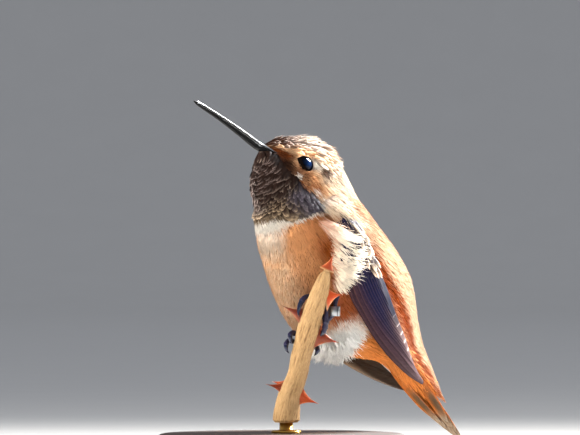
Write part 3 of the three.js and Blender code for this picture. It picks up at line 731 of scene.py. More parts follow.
def whole(seeds, share, shade, seed):
    """One broad blade for each seed, half as wide as the seed's width times share, each a little lighter
    or darker."""
    n = len(seeds["k"])
    shade = np.random.default_rng(seed).uniform(1 - shade, 1 + shade, (n, 1))
    return {**seeds, "half": seeds["width"] * share, "sway": np.zeros(n), "patch_k": seeds["k"],
            "patch_th": seeds["th"], "place": np.full(n, 0.1), "root": seeds["root"] * shade,
            "tip": seeds["tip"] * shade}


def dress(k, th, seed, length, width, high_off, low_off=-1.0, heading=0.0, wild=0.08, streak=0.0,
          loose=0.04):
    """Feathers for roots at stations k and angles th. Length, width, high_off and heading may be
    functions of station and angle in degrees. low_off is a share of the coat's depth below the surface.
    A tip takes the marking found 0.6 of its length past its root; streak gives some more of their root's
    colour, and loose is how unevenly their tips stand. Feathers close to an eye are shorter."""
    rng = np.random.default_rng(seed + 1000)
    degrees = np.degrees(wrapped(th))
    turn, near = round_the_eye(k, th)

    def value(thing):
        return thing(k, degrees) if callable(thing) else np.full(len(k), float(thing))

    bearing = value(heading) * np.sign(degrees) + turn + rng.normal(0, wild, len(k))
    span = value(length) * rng.uniform(0.88, 1.12, len(k)) * (0.35 + 0.65 * smooth(near, EYE_CLEAR, 3.0))
    per_k, per_th = body_scale(k, th)
    past = 0.6 * span
    root, tip = markings(k + past * np.cos(bearing) / per_k, th + past * np.sin(bearing) / per_th)
    return {
        "k": k, "th": th, "heading": bearing, "length": span,
        "width": value(width) * rng.uniform(0.9, 1.1, len(k)),
        "low": coat_depth(k) * low_off,
        "high": value(high_off) + rng.normal(0, loose, len(k)),
        "root": root, "tip": mix(tip, root, streak * rng.uniform(0, 1, len(k)) ** 2),
    }


def seed_rows(low, high, row_gap, spacing, seed, where, jitter=0.3, **kind):
    """Feathers in rows over a stretch of body, at the roots for which where is true."""
    k, th = lattice(low, high, row_gap, spacing, seed, jitter)
    keep = where(k, np.degrees(wrapped(th))) & (round_the_eye(k, th)[1] > EYE_CLEAR)
    return dress(k[keep], th[keep], seed, **kind)


def seed_rings(seed, **kind):
    """Feathers in rings round both eyes, close to their lids."""
    per_k, per_th = body_scale(EYE_STATION, EYE_ANGLE)
    ks, ths = [], []
    for reach in np.arange(EYE_CLEAR, 3.0, 0.2):
        turn = np.arange(0, 2 * math.pi, 0.24 / reach) + reach
        for side in (1, -1):
            ks.append(EYE_STATION + reach * np.cos(turn) / per_k)
            ths.append(side * (EYE_ANGLE + reach * np.sin(turn) / per_th))
    return dress(np.concatenate(ks), np.concatenate(ths), seed, **kind)


# ---- Materials ---------------------------------------------------------------

def new_material(name):
    """An empty node material and its tree."""
    material = bpy.data.materials.new(name)
    material.use_nodes = True
    material.node_tree.nodes.clear()
    return material, material.node_tree


def add_node(tree, kind, settings=None, inputs=None, links=None):
    """Adds a node, sets its own settings and its inputs' values, and links other nodes' outputs to its
    inputs."""
    node = tree.nodes.new(kind)
    for name, value in (settings or {}).items():
        setattr(node, name, value)
    for name, value in (inputs or {}).items():
        node.inputs[name].default_value = value
    for name, (other, output) in (links or {}).items():
        tree.links.new(other.outputs[output], node.inputs[name])
    return node


def finish_material(tree, surface):
    """Puts the shader on the material's output."""
    add_node(tree, "ShaderNodeOutputMaterial", links={"Surface": (surface, 0)})


def ramp(node, stops):
    """Sets a colour ramp's stops, each a position and a linear colour."""
    elements = node.color_ramp.elements
    while len(elements) < len(stops):
        elements.new(0.5)
    for element, (position, colour) in zip(elements, stops):
        element.position = position
        element.color = (*colour, 1)


def feather_material(name, roughness, sheen, barb_scale, barb_depth, mottle, gloss=0.1):
    """Keratin barbs of a feather: colour from the pigment attribute, mottled a little from lock to lock,
    a soft velvet sheen from the barbules, and fine ridges along the barbs that break the light into
    threads."""
    material, tree = new_material(name)
    pigment = add_node(tree, "ShaderNodeAttribute", {"attribute_name": "tint"})
    place = add_node(tree, "ShaderNodeTexCoord")
    spots = add_node(tree, "ShaderNodeTexNoise", inputs={"Scale": 900.0, "Detail": 3.0},
                     links={"Vector": (place, "Object")})
    dull = add_node(tree, "ShaderNodeMapRange",
                    inputs={"From Min": 0.3, "From Max": 0.7, "To Min": 1 - mottle, "To Max": 1 + mottle},
                    links={"Value": (spots, "Fac")})
    colour = add_node(tree, "ShaderNodeVectorMath", {"operation": "SCALE"},
                      links={0: (pigment, "Color"), "Scale": (dull, "Result")})
    barbs = add_node(tree, "ShaderNodeUVMap", {"uv_map": "Barb"})
    threads = add_node(tree, "ShaderNodeTexWave", {"bands_direction": "X"},
                       inputs={"Scale": barb_scale, "Distortion": 1.5, "Detail": 2.0},
                       links={"Vector": (barbs, "UV")})
    relief = add_node(tree, "ShaderNodeBump", inputs={"Strength": barb_depth, "Distance": 0.00005},
                      links={"Height": (threads, "Fac")})
    shader = add_node(tree, "ShaderNodeBsdfPrincipled",
                      inputs={"Roughness": roughness, "IOR": 1.55, "Specular IOR Level": gloss,
                              "Sheen Weight": sheen, "Sheen Roughness": 0.4},
                      links={"Base Color": (colour, "Vector"), "Normal": (relief, "Normal")})
    finish_material(tree, shader)
    return material


def vane_material(name, roughness, gloss_level):
    """Flight feather keratin: pigment attribute crossed by fine slanting barbs 0.12 mm apart, drawn
    coarser than real ones so that they show, with a low satin gloss on their ridges, or none where only
    the dull underside is seen."""
    material, tree = new_material(name)
    pigment = add_node(tree, "ShaderNodeAttribute", {"attribute_name": "tint"})
    barbs = add_node(tree, "ShaderNodeUVMap", {"uv_map": "Barb"})
    slant = add_node(tree, "ShaderNodeTexWave", {"bands_direction": "X", "wave_profile": "SIN"},
                     inputs={"Scale": 1.3, "Distortion": 0.6, "Detail": 1.0},
                     links={"Vector": (barbs, "UV")})
    streak = add_node(tree, "ShaderNodeTexNoise", inputs={"Scale": 1.6, "Detail": 4.0},
                      links={"Vector": (barbs, "UV")})
    shade = add_node(tree, "ShaderNodeMapRange",
                     inputs={"From Min": 0.25, "From Max": 0.75, "To Min": 0.72, "To Max": 1.25},
                     links={"Value": (streak, "Fac")})
    colour = add_node(tree, "ShaderNodeVectorMath", {"operation": "SCALE"},
                      links={0: (pigment, "Color"), "Scale": (shade, "Result")})
    relief = add_node(tree, "ShaderNodeBump", inputs={"Strength": 0.35, "Distance": 0.00004},
                      links={"Height": (slant, "Fac")})
    gloss = add_node(tree, "ShaderNodeMapRange",
                     inputs={"To Min": roughness - 0.08, "To Max": roughness + 0.1},
                     links={"Value": (streak, "Fac")})
    shader = add_node(tree, "ShaderNodeBsdfPrincipled",
                      inputs={"IOR": 1.55, "Specular IOR Level": gloss_level},
                      links={"Base Color": (colour, "Vector"), "Normal": (relief, "Normal"),
                             "Roughness": (gloss, "Result")})
    finish_material(tree, shader)
    return material


def keratin_material(name, colour, second, roughness, gloss, grain_mm, depth_mm):
    """Hard keratin, as of bill or claw: nearly black, polished by wear, with faint growth streaks."""
    material, tree = new_material(name)
    place = add_node(tree, "ShaderNodeTexCoord")
    grain = add_node(tree, "ShaderNodeTexNoise", inputs={"Scale": 1000 / grain_mm, "Detail": 4.0},
                     links={"Vector": (place, "Object")})
    shade = add_node(tree, "ShaderNodeValToRGB", links={"Fac": (grain, "Fac")})
    ramp(shade, [(0.3, colour), (0.75, second)])
    polish = add_node(tree, "ShaderNodeMapRange",
                      inputs={"To Min": roughness * 0.7, "To Max": roughness * 1.4},
                      links={"Value": (grain, "Fac")})
    relief = add_node(tree, "ShaderNodeBump", inputs={"Strength": 0.4, "Distance": depth_mm * MM},
                      links={"Height": (grain, "Fac")})
    shader = add_node(tree, "ShaderNodeBsdfPrincipled", inputs={"IOR": 1.56, "Specular IOR Level": gloss},
                      links={"Base Color": (shade, "Color"), "Roughness": (polish, "Result"),
                             "Normal": (relief, "Normal")})
    finish_material(tree, shader)
    return material


def eye_material(name):
    """Wet cornea over a dark iris: the pigment attribute, which holds a painted blue reflection brightest
    in the eye's middle, under a clear coat that mirrors the lamps.
    """
    material, tree = new_material(name)
    pigment = add_node(tree, "ShaderNodeAttribute", {"attribute_name": "tint"})
    place = add_node(tree, "ShaderNodeTexCoord")
    fibres = add_node(tree, "ShaderNodeTexNoise", inputs={"Scale": 4000.0, "Detail": 3.0},
                      links={"Vector": (place, "Object")})
    glow = add_node(tree, "ShaderNodeMapRange", inputs={"To Min": 0.6, "To Max": 1.4},
                    links={"Value": (fibres, "Fac")})
    colour = add_node(tree, "ShaderNodeVectorMath", {"operation": "SCALE"},
                      links={0: (pigment, "Color"), "Scale": (glow, "Result")})
    shader = add_node(tree, "ShaderNodeBsdfPrincipled",
                      inputs={"Roughness": 0.3, "IOR": 1.376, "Specular IOR Level": 0.0,
                              "Coat Weight": 0.35, "Coat Roughness": 0.01, "Coat IOR": 1.33},
                      links={"Base Color": (colour, "Vector")})
    finish_material(tree, shader)
    return material


def pigment_material(name, roughness, grain_mm, depth_mm, subsurface=0.0, gloss=0.4, spread=0.18,
                     fibre=1.0):
    """Skin, bark or prickle: colour from the pigment attribute with fine grain in colour and relief; gloss
    is how strongly it shines and fibre how many times longer the grain is upright than across."""
    material, tree = new_material(name)
    pigment = add_node(tree, "ShaderNodeAttribute", {"attribute_name": "tint"})
    place = add_node(tree, "ShaderNodeTexCoord")
    drawn = add_node(tree, "ShaderNodeVectorMath", {"operation": "MULTIPLY"}, {1: (1.0, 1.0, 1.0 / fibre)},
                     {0: (place, "Object")})
    grain = add_node(tree, "ShaderNodeTexNoise",
                     inputs={"Scale": 1000 / grain_mm, "Detail": 5.0, "Roughness": 0.6},
                     links={"Vector": (drawn, "Vector")})
    shade = add_node(tree, "ShaderNodeMapRange",
                     inputs={"From Min": 0.25, "From Max": 0.75, "To Min": 1 - spread,
                             "To Max": 1 + spread},
                     links={"Value": (grain, "Fac")})
    colour = add_node(tree, "ShaderNodeVectorMath", {"operation": "SCALE"},
                      links={0: (pigment, "Color"), "Scale": (shade, "Result")})
    relief = add_node(tree, "ShaderNodeBump", inputs={"Strength": 0.6, "Distance": depth_mm * MM},
                      links={"Height": (grain, "Fac")})
    shader = add_node(tree, "ShaderNodeBsdfPrincipled",
                      inputs={"Roughness": roughness, "IOR": 1.5, "Specular IOR Level": gloss,
                              "Subsurface Weight": subsurface, "Subsurface Scale": 0.0008},
                      links={"Base Color": (colour, "Vector"), "Normal": (relief, "Normal")})
    finish_material(tree, shader)
    return material


def metal_material(name, colour, roughness, brush_mm):
    """Rolled or drawn metal: fine brushed lines stretched round the upright axis, in polish and
    relief."""
    material, tree = new_material(name)
    place = add_node(tree, "ShaderNodeTexCoord")
    stretch = add_node(tree, "ShaderNodeMapping", inputs={"Scale": (40.0, 40.0, 1000 / brush_mm)},
                       links={"Vector": (place, "Object")})
    lines = add_node(tree, "ShaderNodeTexNoise", inputs={"Scale": 1.0, "Detail": 3.0},
                     links={"Vector": (stretch, "Vector")})
    polish = add_node(tree, "ShaderNodeMapRange",
                      inputs={"To Min": roughness - 0.1, "To Max": roughness + 0.15},
                      links={"Value": (lines, "Fac")})
    relief = add_node(tree, "ShaderNodeBump", inputs={"Strength": 0.25, "Distance": 0.00002},
                      links={"Height": (lines, "Fac")})
    shader = add_node(tree, "ShaderNodeBsdfPrincipled",
                      inputs={"Base Color": (*colour, 1), "Metallic": 1.0},
                      links={"Roughness": (polish, "Result"), "Normal": (relief, "Normal")})
    finish_material(tree, shader)
    return material


def walnut_material(name, colour, dark):
    """Waxed walnut: growth rings about 3 mm apart, fine pores stretched along the grain, a low wax
    sheen."""
    material, tree = new_material(name)
    place = add_node(tree, "ShaderNodeTexCoord")
    grain = add_node(tree, "ShaderNodeMapping", inputs={"Scale": (60.0, 330.0, 330.0)},
                     links={"Vector": (place, "Object")})
    rings = add_node(tree, "ShaderNodeTexWave", {"bands_direction": "Y"},
                     inputs={"Scale": 0.32, "Distortion": 5.0, "Detail": 3.0, "Detail Scale": 0.8},
                     links={"Vector": (grain, "Vector")})
    pores_place = add_node(tree, "ShaderNodeMapping", inputs={"Scale": (300.0, 5000.0, 5000.0)},
                           links={"Vector": (place, "Object")})
    pores = add_node(tree, "ShaderNodeTexNoise", inputs={"Scale": 1.0, "Detail": 2.0},
                     links={"Vector": (pores_place, "Vector")})
    faint = add_node(tree, "ShaderNodeMath", {"operation": "MULTIPLY"}, inputs={1: 0.35},
                     links={0: (rings, "Fac")})
    both = add_node(tree, "ShaderNodeMath", {"operation": "MULTIPLY_ADD"}, inputs={1: 0.8},
                    links={0: (pores, "Fac"), 2: (faint, 0)})
    shade = add_node(tree, "ShaderNodeValToRGB", links={"Fac": (both, 0)})
    ramp(shade, [(0.2, dark), (0.95, colour)])
    relief = add_node(tree, "ShaderNodeBump", inputs={"Strength": 0.3, "Distance": 0.00005},
                      links={"Height": (pores, "Fac")})
    shader = add_node(tree, "ShaderNodeBsdfPrincipled",
                      inputs={"Roughness": 0.5, "IOR": 1.5, "Specular IOR Level": 0.25},
                      links={"Base Color": (shade, "Color"), "Normal": (relief, "Normal")})
    finish_material(tree, shader)
    return material


def paper_material(name, colour):
    """Seamless studio paper: matt, with tooth too fine to see."""
    material, tree = new_material(name)
    place = add_node(tree, "ShaderNodeTexCoord")
    tooth = add_node(tree, "ShaderNodeTexNoise", inputs={"Scale": 40.0, "Detail": 2.0},
                     links={"Vector": (place, "Object")})
    shade = add_node(tree, "ShaderNodeMapRange", inputs={"To Min": 0.98, "To Max": 1.02},
                     links={"Value": (tooth, "Fac")})
    tone = add_node(tree, "ShaderNodeVectorMath", {"operation": "SCALE"}, inputs={0: colour},
                    links={"Scale": (shade, "Result")})
    shader = add_node(tree, "ShaderNodeBsdfPrincipled", inputs={"Roughness": 0.9},
                      links={"Base Color": (tone, "Vector")})
    finish_material(tree, shader)
    return material


# ---- Skin, lids and eyes -----------------------------------------------------

def lid_ring(side):
    """The lids of one eye: a closed shell that hugs the ball from their almond opening back past its
    widest part, each ring at a share of the arc between the two, with a rolled rim at the opening."""
    middle, out, tail, up = eye_frame(side)
    profile = np.array([(0.0, -0.04), (0.0, 0.05), (0.03, 0.1), (0.07, 0.12), (0.12, 0.1), (0.2, 0.06),
                        (0.4, 0.05), (0.7, 0.05), (1.0, 0.04), (1.0, -0.25), (0.5, -0.14), (0.06, -0.1)])
    steps = 96
    angle = circle(steps)
    x = LID_OPENING[0] * np.cos(angle)
    y = LID_OPENING[1] * np.sin(angle) * (1 - 0.1 * np.cos(angle) ** 2)
    reach = np.hypot(x, y)
    way = tail * (x / reach)[:, None] + up * (y / reach)[:, None]
    edge = np.arcsin(reach / EYE_RADIUS)[:, None]
    polar = edge + (1.75 - edge) * profile[None, :, 0]
    radius = EYE_RADIUS + profile[None, :, 1]
    rings = middle + out * (radius * np.cos(polar))[..., None]
    rings = rings + way[:, None] * (radius * np.sin(polar))[..., None]
    points, quads = rings.reshape(-1, 3), ring_faces(steps + 1, len(profile)) % (steps * len(profile))
    return points, *outward(points, quads, np.zeros((0, 3), int))


class HUMMINGBIRD_OT_skin(bpy.types.Operator):
    """Build one skin over head, neck, trunk and rump, with a lid round each eye"""
    bl_idname = "hummingbird.skin"
    bl_label = "Skin and lids"

    def execute(self, context):
        horn = context.scene.bird_horn_colours
        k = np.linspace(0.15, SKIN_END, 260)
        k, th = np.meshgrid(k, circle(160) - math.pi, indexing="ij")
        shell = tube(body_point(k, th, -coat_depth(k)))
        points, quads, triangles = join([shell, lid_ring(1), lid_ring(-1)])
        root, tip = markings(k, th)
        tint = np.tile(np.array(horn.lid), (len(points), 1))
        tint[:k.size] = mix(root, tip, 0.25).reshape(-1, 3) * 0.8
        tint[k.size:k.size + 2] = np.array(horn.skin)
        material = pigment_material("Feathered skin", 0.6, 0.5, 0.05, gloss=0.0)
        put_mesh("skin", points, quads, triangles, material, "body_plumage",
                 ("head", "neck", "trunk", "rump"), tint)
        return {"FINISHED"}


class HUMMINGBIRD_OT_eyes(bpy.types.Operator):
    """Build both eyeballs, each a ball with a slightly bulging cornea"""
    bl_idname = "hummingbird.eyes"
    bl_label = "Eyes"

    def execute(self, context):
        horn = context.scene.bird_horn_colours
        material = eye_material("Wet cornea")
        for name, side in (("eye_left", 1), ("eye_right", -1)):
            middle, out, tail, up = eye_frame(side)
            polar = np.linspace(0.03, math.pi - 0.03, 48)[:, None]
            angle = circle(64)
            radius = EYE_RADIUS * (1 + 0.03 * np.exp(-(polar / 0.55) ** 2))
            rings = (middle + out * (radius * np.cos(polar))[..., None]
                     + tail * (radius * np.sin(polar) * np.cos(angle))[..., None]
                     + up * (radius * np.sin(polar) * np.sin(angle))[..., None])
            # Painted reflection: a blue glow brightest in the middle of the eye, fading to near black at
            # its edge.
            painted_reflection = 0.06 + 0.94 * np.exp(-(polar / 0.36) ** 2)
            tint = with_ends(np.broadcast_to(painted_reflection[..., None] * np.array(horn.eye), rings.shape))
            put_mesh(name + "_ball", *tube(rings), material, "eye_gloss", (name,), tint)
        return {"FINISHED"}


# ---- Bill --------------------------------------------------------------------

def bill_half(upper):
    """One half of the bill: a section that is flat along the mouth line and arched beyond it, a little
    ridged at its middle, carried along the bill, with the mouth line 0.08 mm open. The upper half has a
    shallow groove along either side, where the nostril lies."""
    station = np.linspace(0, len(BILL) - 1, 110)
    row, _, side, down = path_frames(BILL, station)
    arch = np.linspace(0, math.pi, 21)
    flat = np.linspace(-0.8, 0.8, 5)
    depth = row[:, 5:6] if upper else row[:, 4:5]
    across = row[:, 3:4] * np.concatenate([np.cos(arch), flat])
    ridge = np.sin(arch) ** 0.85 * (1 + 0.12 * np.exp(-((arch - math.pi / 2) / 0.25) ** 2))
    if upper:
        near_nostril = bump(station[:, None] / (len(BILL) - 1), 0.28, 0.5, 0.08)
        ridge = ridge - 0.1 * near_nostril * np.exp(-((np.abs(np.cos(arch)) - 0.72) / 0.12) ** 2)
    ridge = np.broadcast_to(ridge, (len(station), len(arch)))
    rise = 0.04 + depth * np.hstack([ridge, np.zeros((len(station), len(flat)))])
    drop = -rise if upper else rise
    return row[:, None, :3] + side[:, None] * across[..., None] + down[:, None] * drop[..., None]


class HUMMINGBIRD_OT_bill(bpy.types.Operator):
    """Build the upper and lower halves of the bill"""
    bl_idname = "hummingbird.bill"
    bl_label = "Bill"

    def execute(self, context):
        colour = tuple(context.scene.bird_horn_colours.bill)
        worn = tuple(v * 1.6 + 0.0005 for v in colour)
        for name, upper, gloss in (("bill_upper", True, 0.5), ("bill_lower", False, 0.05)):
            material = keratin_material("Black horn " + name, colour, worn, 0.2, gloss, 0.9, 0.002)
            put_mesh(name + "_horn", *tube(bill_half(upper)), material, "bill_horn", (name,))
        return {"FINISHED"}


# ---- Coat pieces -------------------------------------------------------------

# Outlines of a feather: share of its length, and share of its half width there. All end in a point.
HAIR = [(0.0, 0.75), (0.55, 1.0)]
SCALE = [(0.0, 0.6), (0.25, 0.95), (0.5, 1.05), (0.7, 1.0), (0.84, 0.84), (0.94, 0.52)]
LANCE = [(0.0, 0.6), (0.3, 1.0), (0.6, 0.95), (0.8, 0.66), (0.93, 0.3)]


def on_gorget(k, degrees):
    """True on the gorget."""
    return (np.abs(degrees) < gorget_line(k)) & (k < gorget_end(degrees))


def on_gape(k, degrees):
    """True along the bare edge of the mouth."""
    return (k < 0.7) & (np.abs(np.abs(degrees) - 90) < 3)


class HUMMINGBIRD_OT_face(bpy.types.Operator):
    """Build the short feathers of forehead, crown, lores, cheeks and nape"""
    bl_idname = "hummingbird.face"
    bl_label = "Face and crown feathers"

    def execute(self, context):
        material = feather_material("Face feathers", 0.65, 0.02, 2.0, 0.3, 0.12, 0.0)
        crown = seed_rows(
            0.05, 3.1, 0.4, 0.42, 10, lambda k, d: (np.abs(d) > 117) & (k < 3.0),
            length=lambda k, d: 1.8 + 0.35 * k, width=lambda k, d: 0.5 + 0.14 * k,
            high_off=lambda k, d: 0.26 + 0.42 * smooth(k, 0.5, 1.4), low_off=-0.9, wild=0.2, loose=0.3,
            jitter=0.2, streak=0.4)
        fore = seed_rows(
            0.05, 2.75, 0.34, 0.46, 11, lambda k, d: ~on_gorget(k, d) & ~on_gape(k, d) & (np.abs(d) < 122),
            length=lambda k, d: 1.0 + 0.5 * np.clip(k - 0.5, 0, 2), width=lambda k, d: 0.5 + 0.15 * k,
            high_off=0.1, wild=0.12, streak=0.8)
        rear = seed_rows(
            2.55, 4.9, 0.46, 0.6, 12, lambda k, d: ~on_gorget(k, d) & (np.abs(d) > gorget_line(k) - 4),
            length=lambda k, d: 2.1 + 0.5 * (k - 2.5), width=1.0,
            high_off=lambda k, d: 0.14 + 0.12 * (np.abs(d) > 120), wild=0.12, streak=0.8)
        lay_feathers("feathers_crown", whole(crown, 0.6, 0.3, 20), LANCE, material, "head_plumage", 5,
                     0.05, 1.3, rim=(0.4, 0.93))
        mottle = np.random.default_rng(19).uniform(0.35, 1.15, (len(fore["k"]), 1))
        mottle += (1 - mottle) * 0.7 * smooth(np.abs(np.degrees(wrapped(fore["th"]))), 100, 112)[:, None]
        fore["tip"], fore["root"] = fore["tip"] * mottle, fore["root"] * mottle
        ring = seed_rings(13, length=1.5, width=0.42, high_off=0.1, wild=0.15, streak=0.7)
        lay_feathers("feathers_eyelids", fan(ring, 3, 23, spread=0.6, oval=0.3), HAIR, material,
                     "head_plumage", lift=1.1)
        lay_feathers("feathers_face", fan(fore, 4, 21, spread=0.6, oval=0.35), HAIR, material,
                     "head_plumage", lift=1.1)
        lay_feathers("feathers_nape", fan(rear, 6, 22, spread=0.6, oval=0.35), HAIR, material,
                     "head_plumage", lift=1.2)
        return {"FINISHED"}


class HUMMINGBIRD_OT_gorget(bpy.types.Operator):
    """Build the scale-like feathers of chin and throat"""
    bl_idname = "hummingbird.gorget"
    bl_label = "Gorget"

    def execute(self, context):
        material = feather_material("Gorget scales", 0.6, 0.0, 3.0, 0.5, 0.15, 0.03)

        def above_edge(k, d):
            """True where a feather's tip, 1.9 mm past its root, still lies on the gorget."""
            return on_gorget(k + 1.9 / body_scale(k, np.radians(d))[0], d) & (np.abs(d) < gorget_line(k))

        def sweep(k, d):
            """Lie of the chin's feathers, which run down and round toward the throat's middle."""
            return -1.35 * smooth(np.abs(d), 2, 26) * smooth(k, 0.2, 0.8) * (1 - smooth(k, 1.9, 3.0))

        def on_chin(k, d):
            """True on the chin, a little past the gorget's line where it turns up to the mouth."""
            return on_gorget(k, np.abs(d) - 7 * smooth(k, 0.8, 1.2)) & ~on_gape(k, d)

        chin = seed_rows(
            0.2, 2.35, 0.55, 0.6, 31, on_chin, length=lambda k, d: 1.8 + 0.8 * np.clip(k - 0.3, 0, 2),
            width=lambda k, d: 0.56 + 0.22 * k,
            high_off=lambda k, d: 0.24 + 0.7 * np.exp(-(d / 44) ** 2) * smooth(k, 0.5, 1.3), low_off=-0.8,
            heading=sweep, wild=0.05, jitter=0.12, loose=0.16)
        throat = seed_rows(
            2.25, 4.4, 0.58, 0.74, 32, above_edge, length=2.3,
            width=lambda k, d: 1.0 - 0.3 * smooth(np.abs(d), 50, 70),
            high_off=lambda k, d: 0.16 + 0.5 * np.exp(-(d / 26) ** 2) * (1 - smooth(k, 2.4, 3.1)),
            low_off=-0.8, heading=sweep, wild=0.1, jitter=0.16, loose=0.06)
        hem = seed_rows(
            3.0, 4.5, 0.4, 0.5, 35, lambda k, d: on_gorget(k + 0.24, d) & ~on_gorget(k + 0.46, d),
            length=1.8, width=0.8, high_off=0.14, low_off=-0.8, wild=0.15, loose=0.08)
        for seeds in (chin, throat, hem):
            limit = np.radians(gorget_line(seeds["k"]) - 3)
            inside = np.clip(wrapped(seeds["th"]), -limit, limit)
            above = np.minimum(seeds["k"], gorget_end(np.degrees(inside)) - 0.1)
            seeds["root"], seeds["tip"] = markings(above, inside)
        lay_feathers("gorget_chin", whole(chin, 0.6, 0.25, 33), LANCE, material, "head_plumage", 5, 0.14,
                     1.4, rim=(0.1, 0.9), lower_only=True)
        lay_feathers("gorget_throat", whole(throat, 0.58, 0.2, 34), SCALE, material, "head_plumage", 5,
                     0.1, 1.5, rim=(0.4, 0.8))
        lay_feathers("gorget_hem", fan(hem, 5, 36, spread=0.8, rough=0.15), HAIR, material, "head_plumage")
        return {"FINISHED"}


class HUMMINGBIRD_OT_body_plumage(bpy.types.Operator):
    """Build the soft feathers of collar, breast, flanks, back, belly, rump and tail coverts"""
    bl_idname = "hummingbird.body_plumage"
    bl_label = "Body feathers"

    def execute(self, context):
        material = feather_material("Body feathers", 0.7, 0.02, 2.0, 0.3, 0.1, 0.0)
        down = feather_material("Belly down", 0.8, 0.1, 2.0, 0.2, 0.05)
        barb = context.scene.bird_plumage_sizes.barb / MM
        breast = seed_rows(
            2.7, 7.9, 0.5, 0.8, 41, lambda k, d: (k > gorget_end(d) - 0.45) & (np.abs(d) < 82),
            length=lambda k, d: 2.4 + 0.5 * smooth(k, 4, 6), width=5 * barb,
            high_off=lambda k, d: 0.12 - 0.2 * (k < gorget_end(d)), streak=0.45)
        back = seed_rows(
            4.4, 9.6, 0.7, 1.05, 42, lambda k, d: np.abs(d) >= 82, length=3.9, width=1.6, high_off=0.14,
            streak=0.3)
        vent = seed_rows(
            7.2, 8.1, 0.6, 0.8, 43, lambda k, d: (np.abs(d) < 72) & (k + 0.012 * np.abs(d) < 8.4),
            length=3.0, width=1.2, high_off=0.35, low_off=-0.9, wild=0.22)
        coverts = seed_rows(
            7.9, 11.3, 0.9, 0.95, 44, lambda k, d: (np.abs(d) < 110) & (k + 0.012 * np.abs(d) > 8.4),
            length=4.6, width=1.6, high_off=0.16)
        rump = seed_rows(
            9.3, 11.5, 0.85, 1.0, 45, lambda k, d: np.abs(d) > 86, length=5.2, width=1.8, high_off=0.18,
            streak=0.4)
        lay_feathers("feathers_breast", fan(breast, 6, 51), HAIR, material, "body_plumage")
        lay_feathers("feathers_back", fan(back, 6, 52), HAIR, material, "body_plumage")
        lay_feathers("feathers_belly", fan(vent, 6, 53, spread=0.9, rough=0.2), HAIR, down, "body_plumage")
        lay_feathers("feathers_coverts", fan(coverts, 6, 54), HAIR, material, "body_plumage")
        lay_feathers("feathers_rump", fan(rump, 6, 55), HAIR, material, "body_plumage")
        return {"FINISHED"}


